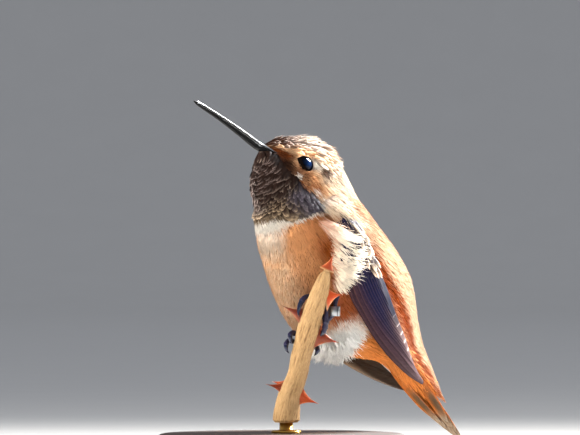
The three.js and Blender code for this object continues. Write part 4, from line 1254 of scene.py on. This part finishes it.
class HUMMINGBIRD_OT_tufts(bpy.types.Operator):
    """Build the loose tufts that stand over the wing's edges and root, and those below the vent"""
    bl_idname = "hummingbird.tufts"
    bl_label = "Tufts"

    def execute(self, context):
        c = context.scene.bird_plumage_colours
        material = feather_material("Loose tufts", 0.75, 0.1, 2.0, 0.2, 0.08)
        # pale stands partly for the tufts' cream, partly for painted sunlight.
        pale, dark, white = np.array(c.flank_pale_and_sunlit), np.array(c.flank), np.array(c.belly)

        def front(k):
            """Angle, in degrees, of the line that the flank's tufts grow along, just ahead of the folded
            wing."""
            return 75 + 4 * smooth(k, 4.5, 4.95) - 13 * smooth(k, 4.95, 5.8) - 5 * smooth(k, 5.8, 6.2)

        def reach(k, _):
            """Length of the flank's tufts, most at mid height."""
            return 3.5 + 1.1 * smooth(k, 4.9, 5.4) - smooth(k, 5.6, 5.85) - smooth(k, 5.85, 6.2)

        def stand(k, d):
            """How far the tips stand off: over the wing's edge on the near side, and less on the far
            one."""
            over = (2.55 - 1.35 * smooth(k, 5.7, 6.2)) * smooth(np.abs(d) - front(k), -7, -3)
            return 0.6 + over * np.where(d > 0, 1, 0.4)

        def slant(k, _):
            """Lie of the tufts, back over the wing and then down along it."""
            return 0.38 + 0.2 * smooth(k, 5.1, 5.6) - 0.4 * smooth(k, 5.7, 6.15)

        flank = seed_rows(
            4.4, 6.2, 0.36, 0.44, 61, lambda k, d: (np.abs(d) > front(k) - 7) & (np.abs(d) < front(k) + 6),
            length=reach, width=0.5, high_off=stand, low_off=-0.2, heading=slant, wild=0.1, streak=0.4,
            loose=0.18)
        rng = np.random.default_rng(75)
        shade = rng.uniform(0.7, 1.05, (len(flank["k"]), 1))
        flank["length"] = flank["length"] * rng.uniform(0.7, 1.06, len(flank["k"]))
        behind = np.abs(np.degrees(wrapped(flank["th"]))) - front(flank["k"])
        # Painted sunlight: the tufts over the wing's front edge turn near white where the light falls on
        # them, over their own cream.
        sunlit_share = smooth(behind, -7.5, -3) * smooth(flank["k"], 4.2, 4.8)
        flank["root"] = mix(dark, pale * 0.9, sunlit_share * 0.85) * shade
        flank["tip"] = mix(dark * 1.3, mix(pale, white, 0.4), 0.3 + 0.7 * sunlit_share) * shade ** 0.4
        shoulder = seed_rows(
            3.8, 4.8, 0.45, 0.6, 62, lambda k, d: (np.abs(d) > 84) & (np.abs(d) < 107), length=3.4,
            width=0.8, high_off=lambda k, d: 1.1 + 1.0 * smooth(np.abs(d), 88, 95), low_off=-0.7,
            wild=0.12, streak=0.3)
        # Pale tips here are partly the feathers' own, partly painted sunlight.
        shoulder["tip"] = mix(shoulder["tip"], pale, 0.6)
        scapular = seed_rows(
            4.5, 6.1, 0.6, 0.45, 64, lambda k, d: np.abs(np.abs(d) - 96 + 8 * smooth(k, 4.8, 6.4)) < 2.4,
            length=3.6, width=0.62, high_off=3.0, heading=-0.12, wild=0.1, streak=0.5, loose=0.12)
        scapular["low"] = 2.3 * smooth(scapular["k"], 4.4, 4.9)
        scapular["root"] = np.broadcast_to(np.array(c.flight), scapular["root"].shape)
        # Pale tips here are partly the feathers' own, partly painted sunlight.
        scapular["tip"] = mix(scapular["tip"] * 0.8, pale, 0.5)
        vent = seed_rows(
            7.7, 8.5, 0.45, 0.55, 63, lambda k, d: (np.abs(d) < 45) & (k + 0.012 * np.abs(d) < 8.5),
            length=2.2, width=0.4, high_off=2.3, low_off=-0.5, wild=0.4, loose=0.6)
        vent["root"], vent["tip"] = (np.tile(white * share, (len(vent["k"]), 1)) for share in (0.7, 0.95))
        lay_feathers("tufts_flank", fan(flank, 5, 71, spread=1.2, oval=0.1, rough=0.16), HAIR, material,
                     "body_plumage", lift=0.6, tip_at=0.2)
        lay_feathers("tufts_shoulder", fan(shoulder, 6, 72, spread=0.8, rough=0.12), HAIR, material,
                     "body_plumage", lift=0.6)
        lay_feathers("tufts_scapular", whole(scapular, 0.55, 0.2, 74), LANCE, material, "body_plumage", 5,
                     0.08, 0.7, rim=(0.3, 0.75))
        lay_feathers("tufts_vent", fan(vent, 4, 73, spread=1.2, oval=0.0, rough=0.2), HAIR, material,
                     "body_plumage", lift=1.0)
        return {"FINISHED"}


# ---- Wings and tail ----------------------------------------------------------

# Length of a folded wing, thickness of a vane, and how many flight feathers show.
WING_LENGTH = 38
VANE_THICK = 0.055
FLIGHT_FEATHERS = 12
# Rows of wing coverts, lowest first: where they end and how long they are, as shares of the wing.
# Then how many feathers each row has.
COVERT_ROWS = [(0.3, 0.24), (0.2, 0.2), (0.12, 0.16), (0.05, 0.13)]
COVERTS = 7
# Pairs of tail feathers from the middle out: offset sideways, and length as a share of the tail.
TAIL_PAIRS = [(0.4, 1.0), (1.0, 0.97), (1.6, 0.91), (2.1, 0.84), (2.5, 0.77)]
TAIL_LENGTH = 21


def wing_point(u, v, off, far):
    """Point on a folded wing: u from wrist to tip, v from leading to trailing edge, off outward. The
    blade runs straight between its two edges and arches by a camber that is most at mid width. The far
    wing is the near one mirrored, its tip slid along the tail and its middle hung lower."""
    u, v, off = np.broadcast_arrays(np.asarray(u, float), np.asarray(v, float), np.asarray(off, float))
    last = len(WING) - 1
    row = rows_at(WING, u * last)
    ahead = rows_at(WING, np.minimum(u + 0.01, 1) * last)[..., :3]
    behind = rows_at(WING, np.maximum(u - 0.01, 0) * last)[..., :3]
    across = row[..., 3:] - row[..., :3]
    out = unit(np.cross(ahead - behind, across))
    rise = WING_CAMBER * 4 * v * (1 - v) * np.minimum(1, np.linalg.norm(across, axis=-1) / 4)
    point = row[..., :3] + across * v[..., None] + out * (rise + off)[..., None]
    if far:
        reach = np.clip((point[..., 0] - WING[0, 0]) / (WING[-1, 0] - WING[0, 0]), 0, 1)
        point = point * [1, -1, 1]
        point[..., 0] += FAR_WING_SHIFT + FAR_WING_REACH * reach * reach
        point[..., 2] -= FAR_WING_DROP * 4 * reach * (1 - reach) + FAR_WING_SAG * reach ** 3
    return point


def wing_width(u):
    """Distance from the leading to the trailing edge at a share of the wing's length."""
    row = rows_at(WING, np.asarray(u, float) * (len(WING) - 1))
    return np.linalg.norm(row[..., 3:] - row[..., :3], axis=-1)


def sheet(top, bottom, top_tint, bottom_tint, length, across):
    """A feather from the grids of its upper and lower face and their colours, as one closed part, a
    colour for each point and a UV for each: its barbs' slanting place along the shaft from the length,
    and the distance across."""
    slant = length[:, None] - np.abs(across) * 1.1
    uv = np.stack(np.broadcast_arrays(slant, across), -1)
    rings, tint, uv = (np.concatenate([over, under[:, ::-1]], 1)
                       for over, under in ((top, bottom), (top_tint, bottom_tint), (uv, uv)))
    return tube(rings), with_ends(tint), with_ends(uv)


def put_feathers(name, made, material, slot, nodes):
    """Joins feathers with their colours and UVs into one piece."""
    parts, tints, uvs = zip(*made)
    put_mesh(name, *join(parts), material, slot, nodes, np.vstack(tints), {"Barb": np.vstack(uvs)})


def wing_feather(far, root, tip, lead, shaft, width, base, pitch, hues, fringe=0.0, steps=44, blunt=0.2):
    """One vane of a folded wing, a closed sheet: it starts at u root, ends at u tip, and its leading
    edge follows v lead[0] at the root, swinging to lead[1] at the tip. Its width in millimetres is taken
    at each u, rounded off over the last part. Across, it tilts down by pitch toward its trailing edge,
    with its shaft a ridge."""
    t = 1 - (1 - np.linspace(0, 1, steps)) ** 1.3
    u = root + (tip - root) * t
    swing = t ** 2.2
    start = lead[0] * (1 - swing) + lead[1] * swing
    near = np.clip((t - (1 - blunt)) / blunt, 0, 1)
    taper = np.sqrt(np.maximum(1 - near ** 2, 0.0004)) * (0.55 + 0.45 * smooth(t, 0, 0.12))
    s = np.array([0.0, 0.05, shaft - 0.03, shaft, shaft + 0.03, 0.26, 0.38, 0.5, 0.64, 0.8, 0.92, 1.0])
    span = width / np.maximum(wing_width(u), 0.5)
    centre = start + span * shaft
    v = centre[:, None] + (s - shaft)[None] * (span * taper)[:, None]
    v = np.clip(v, 0.0, 1.3 if far else 1.05)
    on_shaft = (np.abs(s - shaft) < 0.001).astype(float)[None] * (1 - 0.8 * t[:, None])
    u = u[:, None]
    sunk = 1.6 * (1 - smooth(u, 0.0, 0.16))
    sunk = sunk + 0.9 * (1 - smooth(u, 0.3, 0.45)) * (1 - smooth(v, 0.0, 0.2))
    sunk = sunk + 0.8 * (1 - smooth(u, 0.2, 0.4)) * smooth(v, 0.75, 1.0)
    off = base + pitch * (1 - s)[None] * taper[:, None] + 0.09 * on_shaft - sunk
    top = wing_point(u, v, off, far)
    bottom = wing_point(u, v, off - VANE_THICK - 0.05 * on_shaft, far)
    vane, tip_hue, under, quill, edge = hues
    corner = smooth(s, 0.88, 0.98) * smooth(t, 0.8, 0.92)[:, None]
    edge_share = fringe * np.maximum(corner, smooth(t, 0.96, 0.99)[:, None])
    worn = np.broadcast_to(smooth(t, 0.55, 1.0)[:, None], v.shape)
    upper_tint = mix(vane, tip_hue, worn)
    upper_tint = mix(upper_tint, vane * 0.45, (1 - smooth(s, 0, 0.07))[None] * 0.8)
    # Painted shade: the trailing edge near the wrist darkened where it tucks under the back's feathers.
    upper_tint = mix(upper_tint, upper_tint * 0.4, smooth(v, 0.72, 0.92) * (1 - smooth(u, 0.5, 0.65)))
    upper_tint = mix(upper_tint, edge, edge_share)
    upper_tint = mix(upper_tint, quill, on_shaft * 0.9)
    under_tint = mix(mix(under, edge * 0.18, worn * 0.3), quill * 1.4, on_shaft)
    return sheet(top, bottom, upper_tint, under_tint, t * (tip - root) * WING_LENGTH, (s - shaft) * width)


class HUMMINGBIRD_OT_wings(bpy.types.Operator):
    """Build the flight feathers and coverts of both folded wings"""
    bl_idname = "hummingbird.wings"
    bl_label = "Wings"

    def execute(self, context):
        c = context.scene.bird_plumage_colours
        vane, blue, grey = np.array(c.flight), np.array(c.flight_blue), np.array(c.flight_grey)
        under, quill, edge = np.array(c.flight_under), np.array(c.shaft), np.array(c.fringe)
        rng = np.random.default_rng(81)
        for name, far in (("left", False), ("right", True)):
            made = []
            for number in range(FLIGHT_FEATHERS):
                place = number / (FLIGHT_FEATHERS - 1)
                tip = 0.36 + 0.64 * place ** 0.85
                shade = rng.uniform(0.88, 1.15)
                inner = blue * (0.55 + 0.35 * smooth(place, 0.0, 0.3))
                hue = mix(inner, vane * 1.7, smooth(place, 0.55, 0.95)) * shade
                inner_tip = mix(blue * 0.7, grey * 0.85, smooth(tip, 0.5, 0.62))
                tip_hue = mix(inner_tip, mix(vane * 1.6, grey, 0.4), smooth(tip, 0.8, 0.9)) * shade
                broad = 1.25 if far else 1.0
                lead = (broad * 0.82 * (1 - place) ** 1.05, broad * 0.85 * (1 - smooth(place, 0.72, 1.0)))
                base = -0.55 + 0.055 * (FLIGHT_FEATHERS - 1 - number)
                hues = (hue, tip_hue, under * rng.uniform(0.85, 1.15), quill, edge)
                made.append(wing_feather(far, 0.0, tip, lead, 0.13, 2.9 - 0.9 * place, base, 0.24, hues,
                                         0.8 * bump(tip, 0.5, 0.78, 0.05), blunt=0.12 if far else 0.2))
            for row, (reach, length) in enumerate(COVERT_ROWS):
                for number in range(COVERTS):
                    place = number / (COVERTS - 1)
                    hue = mix(blue, vane, rng.uniform(0, 0.5)) * rng.uniform(0.85, 1.15)
                    lead = 0.8 * (1 - place)
                    base = 0.12 + 0.1 * row + 0.02 * (COVERTS - number)
                    hues = (hue, hue, under, quill * 0.6, edge)
                    made.append(wing_feather(far, max(reach - length, 0.0), reach * (1.0 - 0.18 * place),
                                             (lead, lead), 0.45, 1.7, base, 0.16, hues, 0.05, 18, 0.35))
            material = vane_material("Wing feather " + name, 0.5, 0.0 if far else 0.03)
            put_feathers("wing_feathers_" + name, made, material, "wing_feather",
                         ("wing_" + name + "_arm", "wing_" + name + "_hand"))
        return {"FINISHED"}


def tail_feather(offset, length, drop, half, hues):
    """One tail feather, a closed sheet along the tail's middle line: offset sideways and dropped below
    the ones over it, arched a little across and rounded to a point. Its shaft is a ridge, and a dark
    spearhead toward its tip lies inside rufous edges."""
    steps = 46
    t = np.linspace(0, 1, steps)
    run = TAIL_TIP - TAIL_ROOT
    below = unit(np.array([run[2], 0.0, -run[0]]))
    side = np.array([0.0, -1.0, 0.0])
    aside = offset * (0.75 + 0.35 * np.sin(math.pi * t) - 0.35 * t * t)
    middle = TAIL_ROOT + run * (t * length)[:, None] + side * aside[:, None]
    s = np.array([-1.0, -0.9, -0.6, -0.3, -0.06, 0.0, 0.06, 0.3, 0.6, 0.9, 1.0])
    near = np.clip((t - 0.72) / 0.28, 0, 1)
    taper = np.sqrt(np.maximum(1 - near ** 1.7, 0.0006)) * (0.75 + 0.25 * smooth(t, 0, 0.3))
    quill = (s == 0).astype(float)[None] * (1 - 0.7 * t[:, None])
    arch = 0.28 * (s ** 2)[None] * taper[:, None]
    fall = drop + arch - 0.08 * quill + 0.25 * (t ** 2)[:, None]
    top = middle[:, None] + side * (s[None] * half * taper[:, None])[..., None] + below * fall[..., None]
    bottom = top + below * (0.07 + 0.1 * quill)[..., None]
    vane, pale, dark, shaft = hues
    tint = np.broadcast_to(mix(vane, pale, smooth(t, 0.78, 0.95))[:, None], (steps, len(s), 3))
    tint = mix(tint, dark, bump(t, 0.52, 0.9, 0.14)[:, None] * (1 - smooth(np.abs(s), 0.45, 0.95)))
    tint = mix(tint, shaft, quill)
    return sheet(top, bottom, tint, tint, t * length * TAIL_LENGTH, s * half)


class HUMMINGBIRD_OT_tail(bpy.types.Operator):
    """Build the ten tail feathers"""
    bl_idname = "hummingbird.tail"
    bl_label = "Tail"

    def execute(self, context):
        c = context.scene.bird_plumage_colours
        rng = np.random.default_rng(91)
        made = []
        for number, (offset, length) in enumerate(TAIL_PAIRS):
            for side in (1, -1):
                vane = np.array(c.tail) * rng.uniform(0.9, 1.15)
                hues = (vane, np.array(c.back_pale) * 0.3, np.array(c.tail_tip), np.array(c.shaft))
                drop = 0.16 * number + 0.05 * (side < 0) - 0.2
                made.append(tail_feather(offset * side, length, drop, 1.55, hues))
        material = vane_material("Tail feather", 0.55, 0.02)
        put_feathers("tail_feathers", made, material, "tail_feather", ("tail",))
        return {"FINISHED"}


# ---- Feet --------------------------------------------------------------------

def stem_at(height):
    """Stem's middle and radius at a height, by running along its path to that height."""
    fine = np.linspace(0, len(STEM) - 1, 600)
    rows = rows_at(STEM, fine)
    order = np.argsort(rows[:, 2])
    return np.array([np.interp(height, rows[order, 2], rows[order, i]) for i in range(4)])


def beside_stem(angle, height, off):
    """Point at an angle round the stem from its right-hand side, and a distance off its bark."""
    x, y, _, radius = stem_at(height)
    turn = STEM_RIGHT + math.radians(angle)
    return [x + (radius + off) * math.cos(turn), y + (radius + off) * math.sin(turn), height]


def round_tube(rows, low, high, steps, around, radius=None, scutes=0.0, pitch=0.45):
    """A closed tube round rows of x, y, z, radius between two stations, its skin stepped into scutes one
    pitch apart; radius may rescale the tube from its share of the length."""
    station = np.linspace(low, high, steps)
    rows = np.asarray(rows, float)
    row, _, side, down = path_frames(rows, station, (0.3, 0.1, 1.0))
    share = (station - low) / (high - low)
    size = row[:, 3] * (radius(share) if radius else 1.0)
    size = size * (1 + scutes * (1 - ((run_along(row[:, :3]) / pitch) % 1) ** 2 - 0.6))
    angle = circle(around)
    ring = side[:, None] * np.sin(angle)[None, :, None] + down[:, None] * np.cos(angle)[None, :, None]
    return tube(row[:, None, :3] + ring * size[:, None, None])


def toe_joints(share):
    """Girth of a toe along it, with two soft swellings."""
    return 1 + 0.1 * np.cos(share * 4 * math.pi)


def claw_taper(share):
    """Girth of a claw along it, narrowing ever faster to a point."""
    return 1.02 * (1 - share ** 2.2) * 0.96 + 0.04


def pad(middle, radius, squash):
    """A small rounded pad, a ball pressed flatter upright."""
    polar = np.linspace(0.05, math.pi - 0.05, 16)
    return tube(np.asarray(middle) + turned(np.sin(polar), np.cos(polar) * squash, 20) * radius)


def leg_band():
    """The band: a thin-walled ring bent from a strip whose ends stop short of each other, with rounded
    edges."""
    turn = np.linspace(0.1, 2 * math.pi - 0.1, 72)[:, None] + math.radians(-98)
    half, wall, edge = BAND_HEIGHT / 2, BAND_WALL / 2, 0.06
    section = np.array([(-wall, -half + edge), (-wall + edge, -half), (wall - edge, -half),
                        (wall, -half + edge), (wall, half - edge), (wall - edge, half),
                        (-wall + edge, half), (-wall, half - edge)])
    radius, height = BAND_RADIUS - wall + section[:, 0], section[:, 1]
    rings = np.stack(np.broadcast_arrays(np.cos(turn) * radius, np.sin(turn) * radius, height), -1)
    return tube(rings + np.array(BAND_MIDDLE))


class HUMMINGBIRD_OT_feet(bpy.types.Operator):
    """Build both legs with their toes and claws, and the leg band"""
    bl_idname = "hummingbird.feet"
    bl_label = "Legs, feet and band"

    def execute(self, context):
        horn = context.scene.bird_horn_colours
        hide = pigment_material("Scaled leg skin", 0.4, 0.25, 0.03, spread=0.3)
        claw_horn = keratin_material("Claw horn", tuple(v * 0.5 for v in horn.claw), tuple(horn.claw), 0.22,
                                     0.5, 0.4, 0.01)
        for name, toes, leg in (("left", LEFT_TOES, LEFT_LEG), ("right", RIGHT_TOES, RIGHT_LEG)):
            angle, height, off, _ = toes[0][0]
            sole = beside_stem(angle, height - 0.2, off + 0.1)
            toe_parts, claw_parts = [pad(sole, 0.62, 0.9)], []
            for toe in toes:
                rows = [(*beside_stem(a, h, o), r) for a, h, o, r in toe]
                end = len(rows) - 1
                split = end * (1 - CLAW_SHARE)
                toe_parts.append(round_tube(rows, 0, split, 60, 14, toe_joints, 0.16))
                claw_parts.append(round_tube(rows, split - 0.04 * end, end, 40, 14, claw_taper))
            path = [*leg, (*sole, 0.36)]
            leg_part = round_tube(path, 0, len(path) - 1, 60, 14, None, 0.14, 0.55)
            for piece, parts, material, slot, nodes in (
                    ("leg_" + name + "_skin", [leg_part], hide, "leg_skin", ("leg_" + name,)),
                    ("foot_" + name + "_skin", toe_parts, hide, "leg_skin", ("foot_" + name,)),
                    ("claws_" + name, claw_parts, claw_horn, "bill_horn", ())):
                points, quads, fans = join(parts)
                mottle = 1 + 0.25 * waves(points, 1.3, 5)
                put_mesh(piece, points, quads, fans, material, slot, nodes,
                         np.array(horn.leg) * mottle[:, None])
        aluminium = metal_material("Rolled aluminium", tuple(horn.band), 0.34, 0.05)
        put_mesh("band_ring", *leg_band(), aluminium, "band_metal", ("leg_band",))
        return {"FINISHED"}


# ---- Perch and stand ---------------------------------------------------------

def bark_relief(angle, run):
    """Height of the bark in millimetres: long twisting ridges and furrows stretched eight times along
    the stem, with shorter cross wrinkles."""
    twist = angle + 0.055 * run
    place = np.stack([np.cos(twist) * 3.0, np.sin(twist) * 3.0, run * 0.16], -1)
    long_ridges = 1 - np.abs(waves(place, 1.0, 7, 3))
    fine = np.abs(waves(np.stack([np.cos(twist) * 5.0, np.sin(twist) * 5.0, run * 0.3], -1), 0.6, 8, 2))
    return 0.13 * (long_ridges - 0.6) - 0.08 * fine


def stem_mesh(colours):
    """The stem: a round section carried down its path and moved in or out by the bark's relief."""
    steps, around = 520, 150
    station = np.linspace(0, len(STEM) - 1, steps)
    row, _, _, _ = path_frames(STEM, station)
    run, angle = np.broadcast_arrays(run_along(row[:, :3])[:, None], circle(around))
    relief = bark_relief(angle, run)
    ends = smooth(run, 0, 0.8) * (1 - 0.35 * smooth(run, run.max() - 0.5, run.max()))
    radius = (row[:, 3:4] + relief * smooth(run, 0, 1.5)) * (0.55 + 0.45 * ends)
    x, y, z = (row[:, i:i + 1] for i in range(3))
    rings = np.stack(np.broadcast_arrays(x + radius * np.cos(angle), y + radius * np.sin(angle), z), -1)
    share = smooth(relief, -0.16, 0.12)
    bark, furrow, ridge = (np.array(v) for v in (colours.bark, colours.bark_dark, colours.bark_pale))
    tint = mix(mix(furrow, bark, smooth(share, 0.0, 0.5)), ridge, smooth(share, 0.55, 1.0) * 0.7)
    return *tube(rings), np.vstack([tint.reshape(-1, 3), bark, bark * 1.1])


def prickle_mesh(height, half, tip, shade, colours):
    """One prickle: an oval section, long up and down the stem, that narrows fast and then slowly to a sharp
    tip; its upper and lower edges and its point are pale."""
    foot = stem_at(height)
    tip = np.array(tip)
    run = tip - foot[:3]
    t = np.linspace(0, 1, 34)
    start = 0.7 * foot[3] / np.linalg.norm(run)
    share = start + (1 - start) * t
    steep = abs(run[2]) >= 0.8 * np.linalg.norm(run)
    sideways = np.array([math.cos(STEM_RIGHT), math.sin(STEM_RIGHT), 0])
    upright = sideways if steep else np.array([0.0, 0.0, 1.0])
    along = unit(run)
    flat = unit(np.cross(along, upright))
    high = np.cross(flat, along)
    narrow = 1.3 * (1 - t) ** 2.6 + 0.14 * t ** 0.5 * (1 - t)
    middle = foot[:3] + run * share[:, None]
    tall = half * narrow + 0.16 * (1 - t) + 0.015
    thin = 0.45 * narrow ** 0.6 + 0.04 * (1 - t) + 0.015
    angle = circle(22)
    rings = (middle[:, None] + flat * (thin[:, None] * np.sin(angle))[..., None]
             + high * (tall[:, None] * np.cos(angle))[..., None])
    edge = np.abs(np.cos(angle)) ** 6 * smooth(t, 0.05, 0.3)[:, None]
    pale = np.clip(edge * 0.8 + smooth(t, 0.86, 1.0)[:, None], 0, 1)
    red, light = np.array(colours.prickle) * shade, np.array(colours.prickle_pale) * shade ** 0.5
    tint = mix(mix(red, light, pale), np.array(colours.bark) * 0.9, 1 - smooth(t, 0.0, 0.14)[:, None])
    return tube(rings), with_ends(tint)


class HUMMINGBIRD_OT_perch(bpy.types.Operator):
    """Build the cut stem and its prickles"""
    bl_idname = "hummingbird.perch"
    bl_label = "Perch"

    def execute(self, context):
        colours = context.scene.bird_perch_colours
        *faces, tint = stem_mesh(colours)
        bark = pigment_material("Fibrous bark", 0.75, 0.25, 0.1, gloss=0.2, spread=0.25, fibre=7.0)
        put_mesh("stem_bark_skin", *faces, bark, "stem_bark", ("perch_stem",), tint)
        parts, tints = zip(*[prickle_mesh(height, half, tip, shade, colours) for height, half, *tip,
                             shade in PRICKLES])
        waxy = pigment_material("Waxy prickle", 0.4, 0.4, 0.02, subsurface=0.25, gloss=0.3)
        put_mesh("prickles", *join(parts), waxy, "stem_bark", (), np.vstack(tints))
        return {"FINISHED"}


# Half profiles of the turned base and of the rod with its collar: radius and height.
BASE_PROFILE = np.array([
    (0.2, 0.0), (25.1, 0.0), (25.4, 0.15), (25.5, 0.5), (25.5, 2.3), (25.4, 2.6), (25.1, 2.9), (24.7, 3.2),
    (24.35, 3.7), (24.15, 4.4), (23.95, 6.4), (23.8, 8.4), (23.6, 9.1), (23.2, 9.65), (22.6, 10.0),
    (22.0, 10.15), (21.0, 10.2), (12.0, 10.2), (0.2, 10.2)])
ROD_PROFILE = np.array([
    (0.2, 10.2), (2.6, 10.2), (2.75, 10.3), (2.75, 10.6), (2.6, 10.75), (1.4, 10.8), (1.25, 10.9),
    (1.25, 15.3), (1.1, 15.5), (0.2, 15.5)])
ROD_MIDDLE = np.array([0.6, -0.5, 0])


class HUMMINGBIRD_OT_stand(bpy.types.Operator):
    """Build the turned walnut base and its brass rod"""
    bl_idname = "hummingbird.stand"
    bl_label = "Stand"

    def execute(self, context):
        colours = context.scene.bird_perch_colours
        walnut = walnut_material("Waxed walnut", tuple(colours.wood), tuple(colours.wood_dark))
        put_mesh("stand_base_turned", *tube(turned(*BASE_PROFILE.T, 160)), walnut, "stand_wood",
                 ("stand_base",))
        brass = metal_material("Turned brass", tuple(colours.brass), 0.28, 0.08)
        rod = turned(*ROD_PROFILE.T, 64) + ROD_MIDDLE
        put_mesh("stand_rod_brass", *tube(rod), brass, "stand_metal", ("stand_rod",))
        return {"FINISHED"}


# ---- Stage -------------------------------------------------------------------

# Floor, in metres: radius of its flat middle, and of the curve that turns its edge up.
FLOOR_RADIUS = 2.25
FLOOR_CURVE = 0.8

# Lamps: name, way to it as right, ahead and up in the camera's view, distance and size in metres, spread in
# degrees, watts, colour.
LAMPS = [
    ("key_lamp", (0.88, 0.42, 0.55), 1.3, 0.3, 30, 4.9, (1.0, 0.97, 0.92)),
    ("front_lamp", (-0.3, -0.9, 0.35), 1.5, 0.6, 30, 0.6, (0.98, 0.99, 1.0)),
    ("side_lamp", (-0.95, -0.2, 0.3), 1.3, 0.6, 40, 2.3, (1.0, 0.99, 0.97)),
    ("shine_lamp", (0.56, 0.26, 0.79), 1.3, 0.36, 30, 18.0, (0.93, 0.97, 1.0)),
]
WORLD_COLOUR = (0.86, 0.9, 1.0, 1)
WORLD_STRENGTH = 0.5


def floor_mesh(around=96):
    """The floor: flat rings that get wider, then an upward curve round its edge, closed at its
    middle."""
    bend = np.linspace(0.08, math.pi / 2, 16)
    flat = np.concatenate([[0.02], np.linspace(0.2, FLOOR_RADIUS, 12)])
    radius = np.concatenate([flat, FLOOR_RADIUS + FLOOR_CURVE * np.sin(bend)])
    height = np.concatenate([np.zeros(len(flat)), FLOOR_CURVE * (1 - np.cos(bend))])
    points = np.vstack([turned(radius, height, around).reshape(-1, 3), [[0, 0, 0]]])
    ring = np.arange(around)
    middle = np.stack([np.full(around, len(points) - 1), ring, (ring + 1) % around], -1)
    mesh = bpy.data.meshes.new("studio_floor")
    mesh.from_pydata(points.tolist(), [], ring_faces(len(radius), around).tolist() + middle.tolist())
    mesh.polygons.foreach_set("use_smooth", np.full(len(mesh.polygons), True))
    return mesh


class HUMMINGBIRD_OT_stage(bpy.types.Operator):
    """Set up the floor, the lamps and the camera"""
    bl_idname = "hummingbird.stage"
    bl_label = "Stage"

    def execute(self, context):
        scene = context.scene
        mesh = floor_mesh()
        mesh.materials.append(paper_material("Studio paper", tuple(scene.bird_perch_colours.floor)))
        floor = bpy.data.objects.new("studio_floor", mesh)
        scene.collection.objects.link(floor)

        right = np.array([math.cos(CAMERA_BEARING), math.sin(CAMERA_BEARING), 0])
        ahead = np.array([-right[1], right[0], 0])
        up = np.array([0, 0, 1])
        target = right * FRAME_MIDDLE_ACROSS + np.array([0, 0, FRAME_MIDDLE_HEIGHT])
        camera = bpy.data.objects.new("camera", bpy.data.cameras.new("camera"))
        camera.data.sensor_width = SENSOR_WIDTH
        camera.data.lens = SENSOR_WIDTH * CAMERA_DISTANCE / FRAME_WIDTH
        camera.data.clip_start, camera.data.clip_end = 0.05, 10
        camera.location = (target - ahead * CAMERA_DISTANCE) * MM
        camera.rotation_euler = (math.pi / 2, 0, CAMERA_BEARING)
        scene.collection.objects.link(camera)
        scene.camera = camera

        for name, (to_right, to_ahead, to_up), distance, size, spread, power, colour in LAMPS:
            data = bpy.data.lights.new(name, "AREA")
            data.shape = "DISK"
            data.spread = math.radians(spread)
            data.size, data.energy, data.color = size, power, colour
            lamp = bpy.data.objects.new(name, data)
            way = unit(to_right * right + to_ahead * ahead + to_up * up)
            lamp.location = target * MM + way * distance
            lamp.rotation_euler = (math.acos(way[2]), 0, math.atan2(way[1], way[0]) + math.pi / 2)
            lamp.visible_camera = False
            lamp.visible_glossy = name in ("key_lamp", "shine_lamp")
            lamp.visible_diffuse = name != "shine_lamp"
            scene.collection.objects.link(lamp)
        world = bpy.data.worlds.new("studio_air")
        world.use_nodes = True
        background = world.node_tree.nodes["Background"]
        background.inputs["Color"].default_value = WORLD_COLOUR
        background.inputs["Strength"].default_value = WORLD_STRENGTH
        scene.world = world
        scene.view_settings.view_transform = "Standard"
        return {"FINISHED"}


# ---- Panel and running -------------------------------------------------------

GROUPS = {
    "bird_plumage_colours": PlumageColours,
    "bird_plumage_sizes": PlumageSizes,
    "bird_horn_colours": HornColours,
    "bird_perch_colours": PerchColours,
}
OPERATORS = [
    HUMMINGBIRD_OT_stage, HUMMINGBIRD_OT_skin, HUMMINGBIRD_OT_eyes, HUMMINGBIRD_OT_bill,
    HUMMINGBIRD_OT_face, HUMMINGBIRD_OT_gorget, HUMMINGBIRD_OT_body_plumage, HUMMINGBIRD_OT_tufts,
    HUMMINGBIRD_OT_wings, HUMMINGBIRD_OT_tail, HUMMINGBIRD_OT_feet, HUMMINGBIRD_OT_perch,
    HUMMINGBIRD_OT_stand,
]


class HUMMINGBIRD_PT_panel(bpy.types.Panel):
    """Lists the colours, the sizes and the steps that build the hummingbird"""
    bl_idname = "HUMMINGBIRD_PT_panel"
    bl_label = "Hummingbird"
    bl_space_type = "VIEW_3D"
    bl_region_type = "UI"
    bl_category = "Hummingbird"

    def draw(self, context):
        for name in GROUPS:
            group = getattr(context.scene, name)
            box = self.layout.box()
            for field in group.__annotations__:
                box.prop(group, field)
        for operator in OPERATORS:
            self.layout.operator(operator.bl_idname)


def register():
    """Registers the groups, operators and panel, and puts the groups on the scene."""
    for group in GROUPS.values():
        bpy.utils.register_class(group)
    for operator in [*OPERATORS, HUMMINGBIRD_PT_panel]:
        bpy.utils.register_class(operator)
    for name, group in GROUPS.items():
        setattr(bpy.types.Scene, name, bpy.props.PointerProperty(type=group))


def unregister():
    """Takes all of that off again."""
    for name in GROUPS:
        delattr(bpy.types.Scene, name)
    for operator in [HUMMINGBIRD_PT_panel, *reversed(OPERATORS)]:
        bpy.utils.unregister_class(operator)
    for group in reversed(list(GROUPS.values())):
        bpy.utils.unregister_class(group)


def main():
    """Registers the classes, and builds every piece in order."""
    register()
    for operator in OPERATORS:
        family, name = operator.bl_idname.split(".")
        getattr(getattr(bpy.ops, family), name)()


if __name__ == "__main__":
    main()
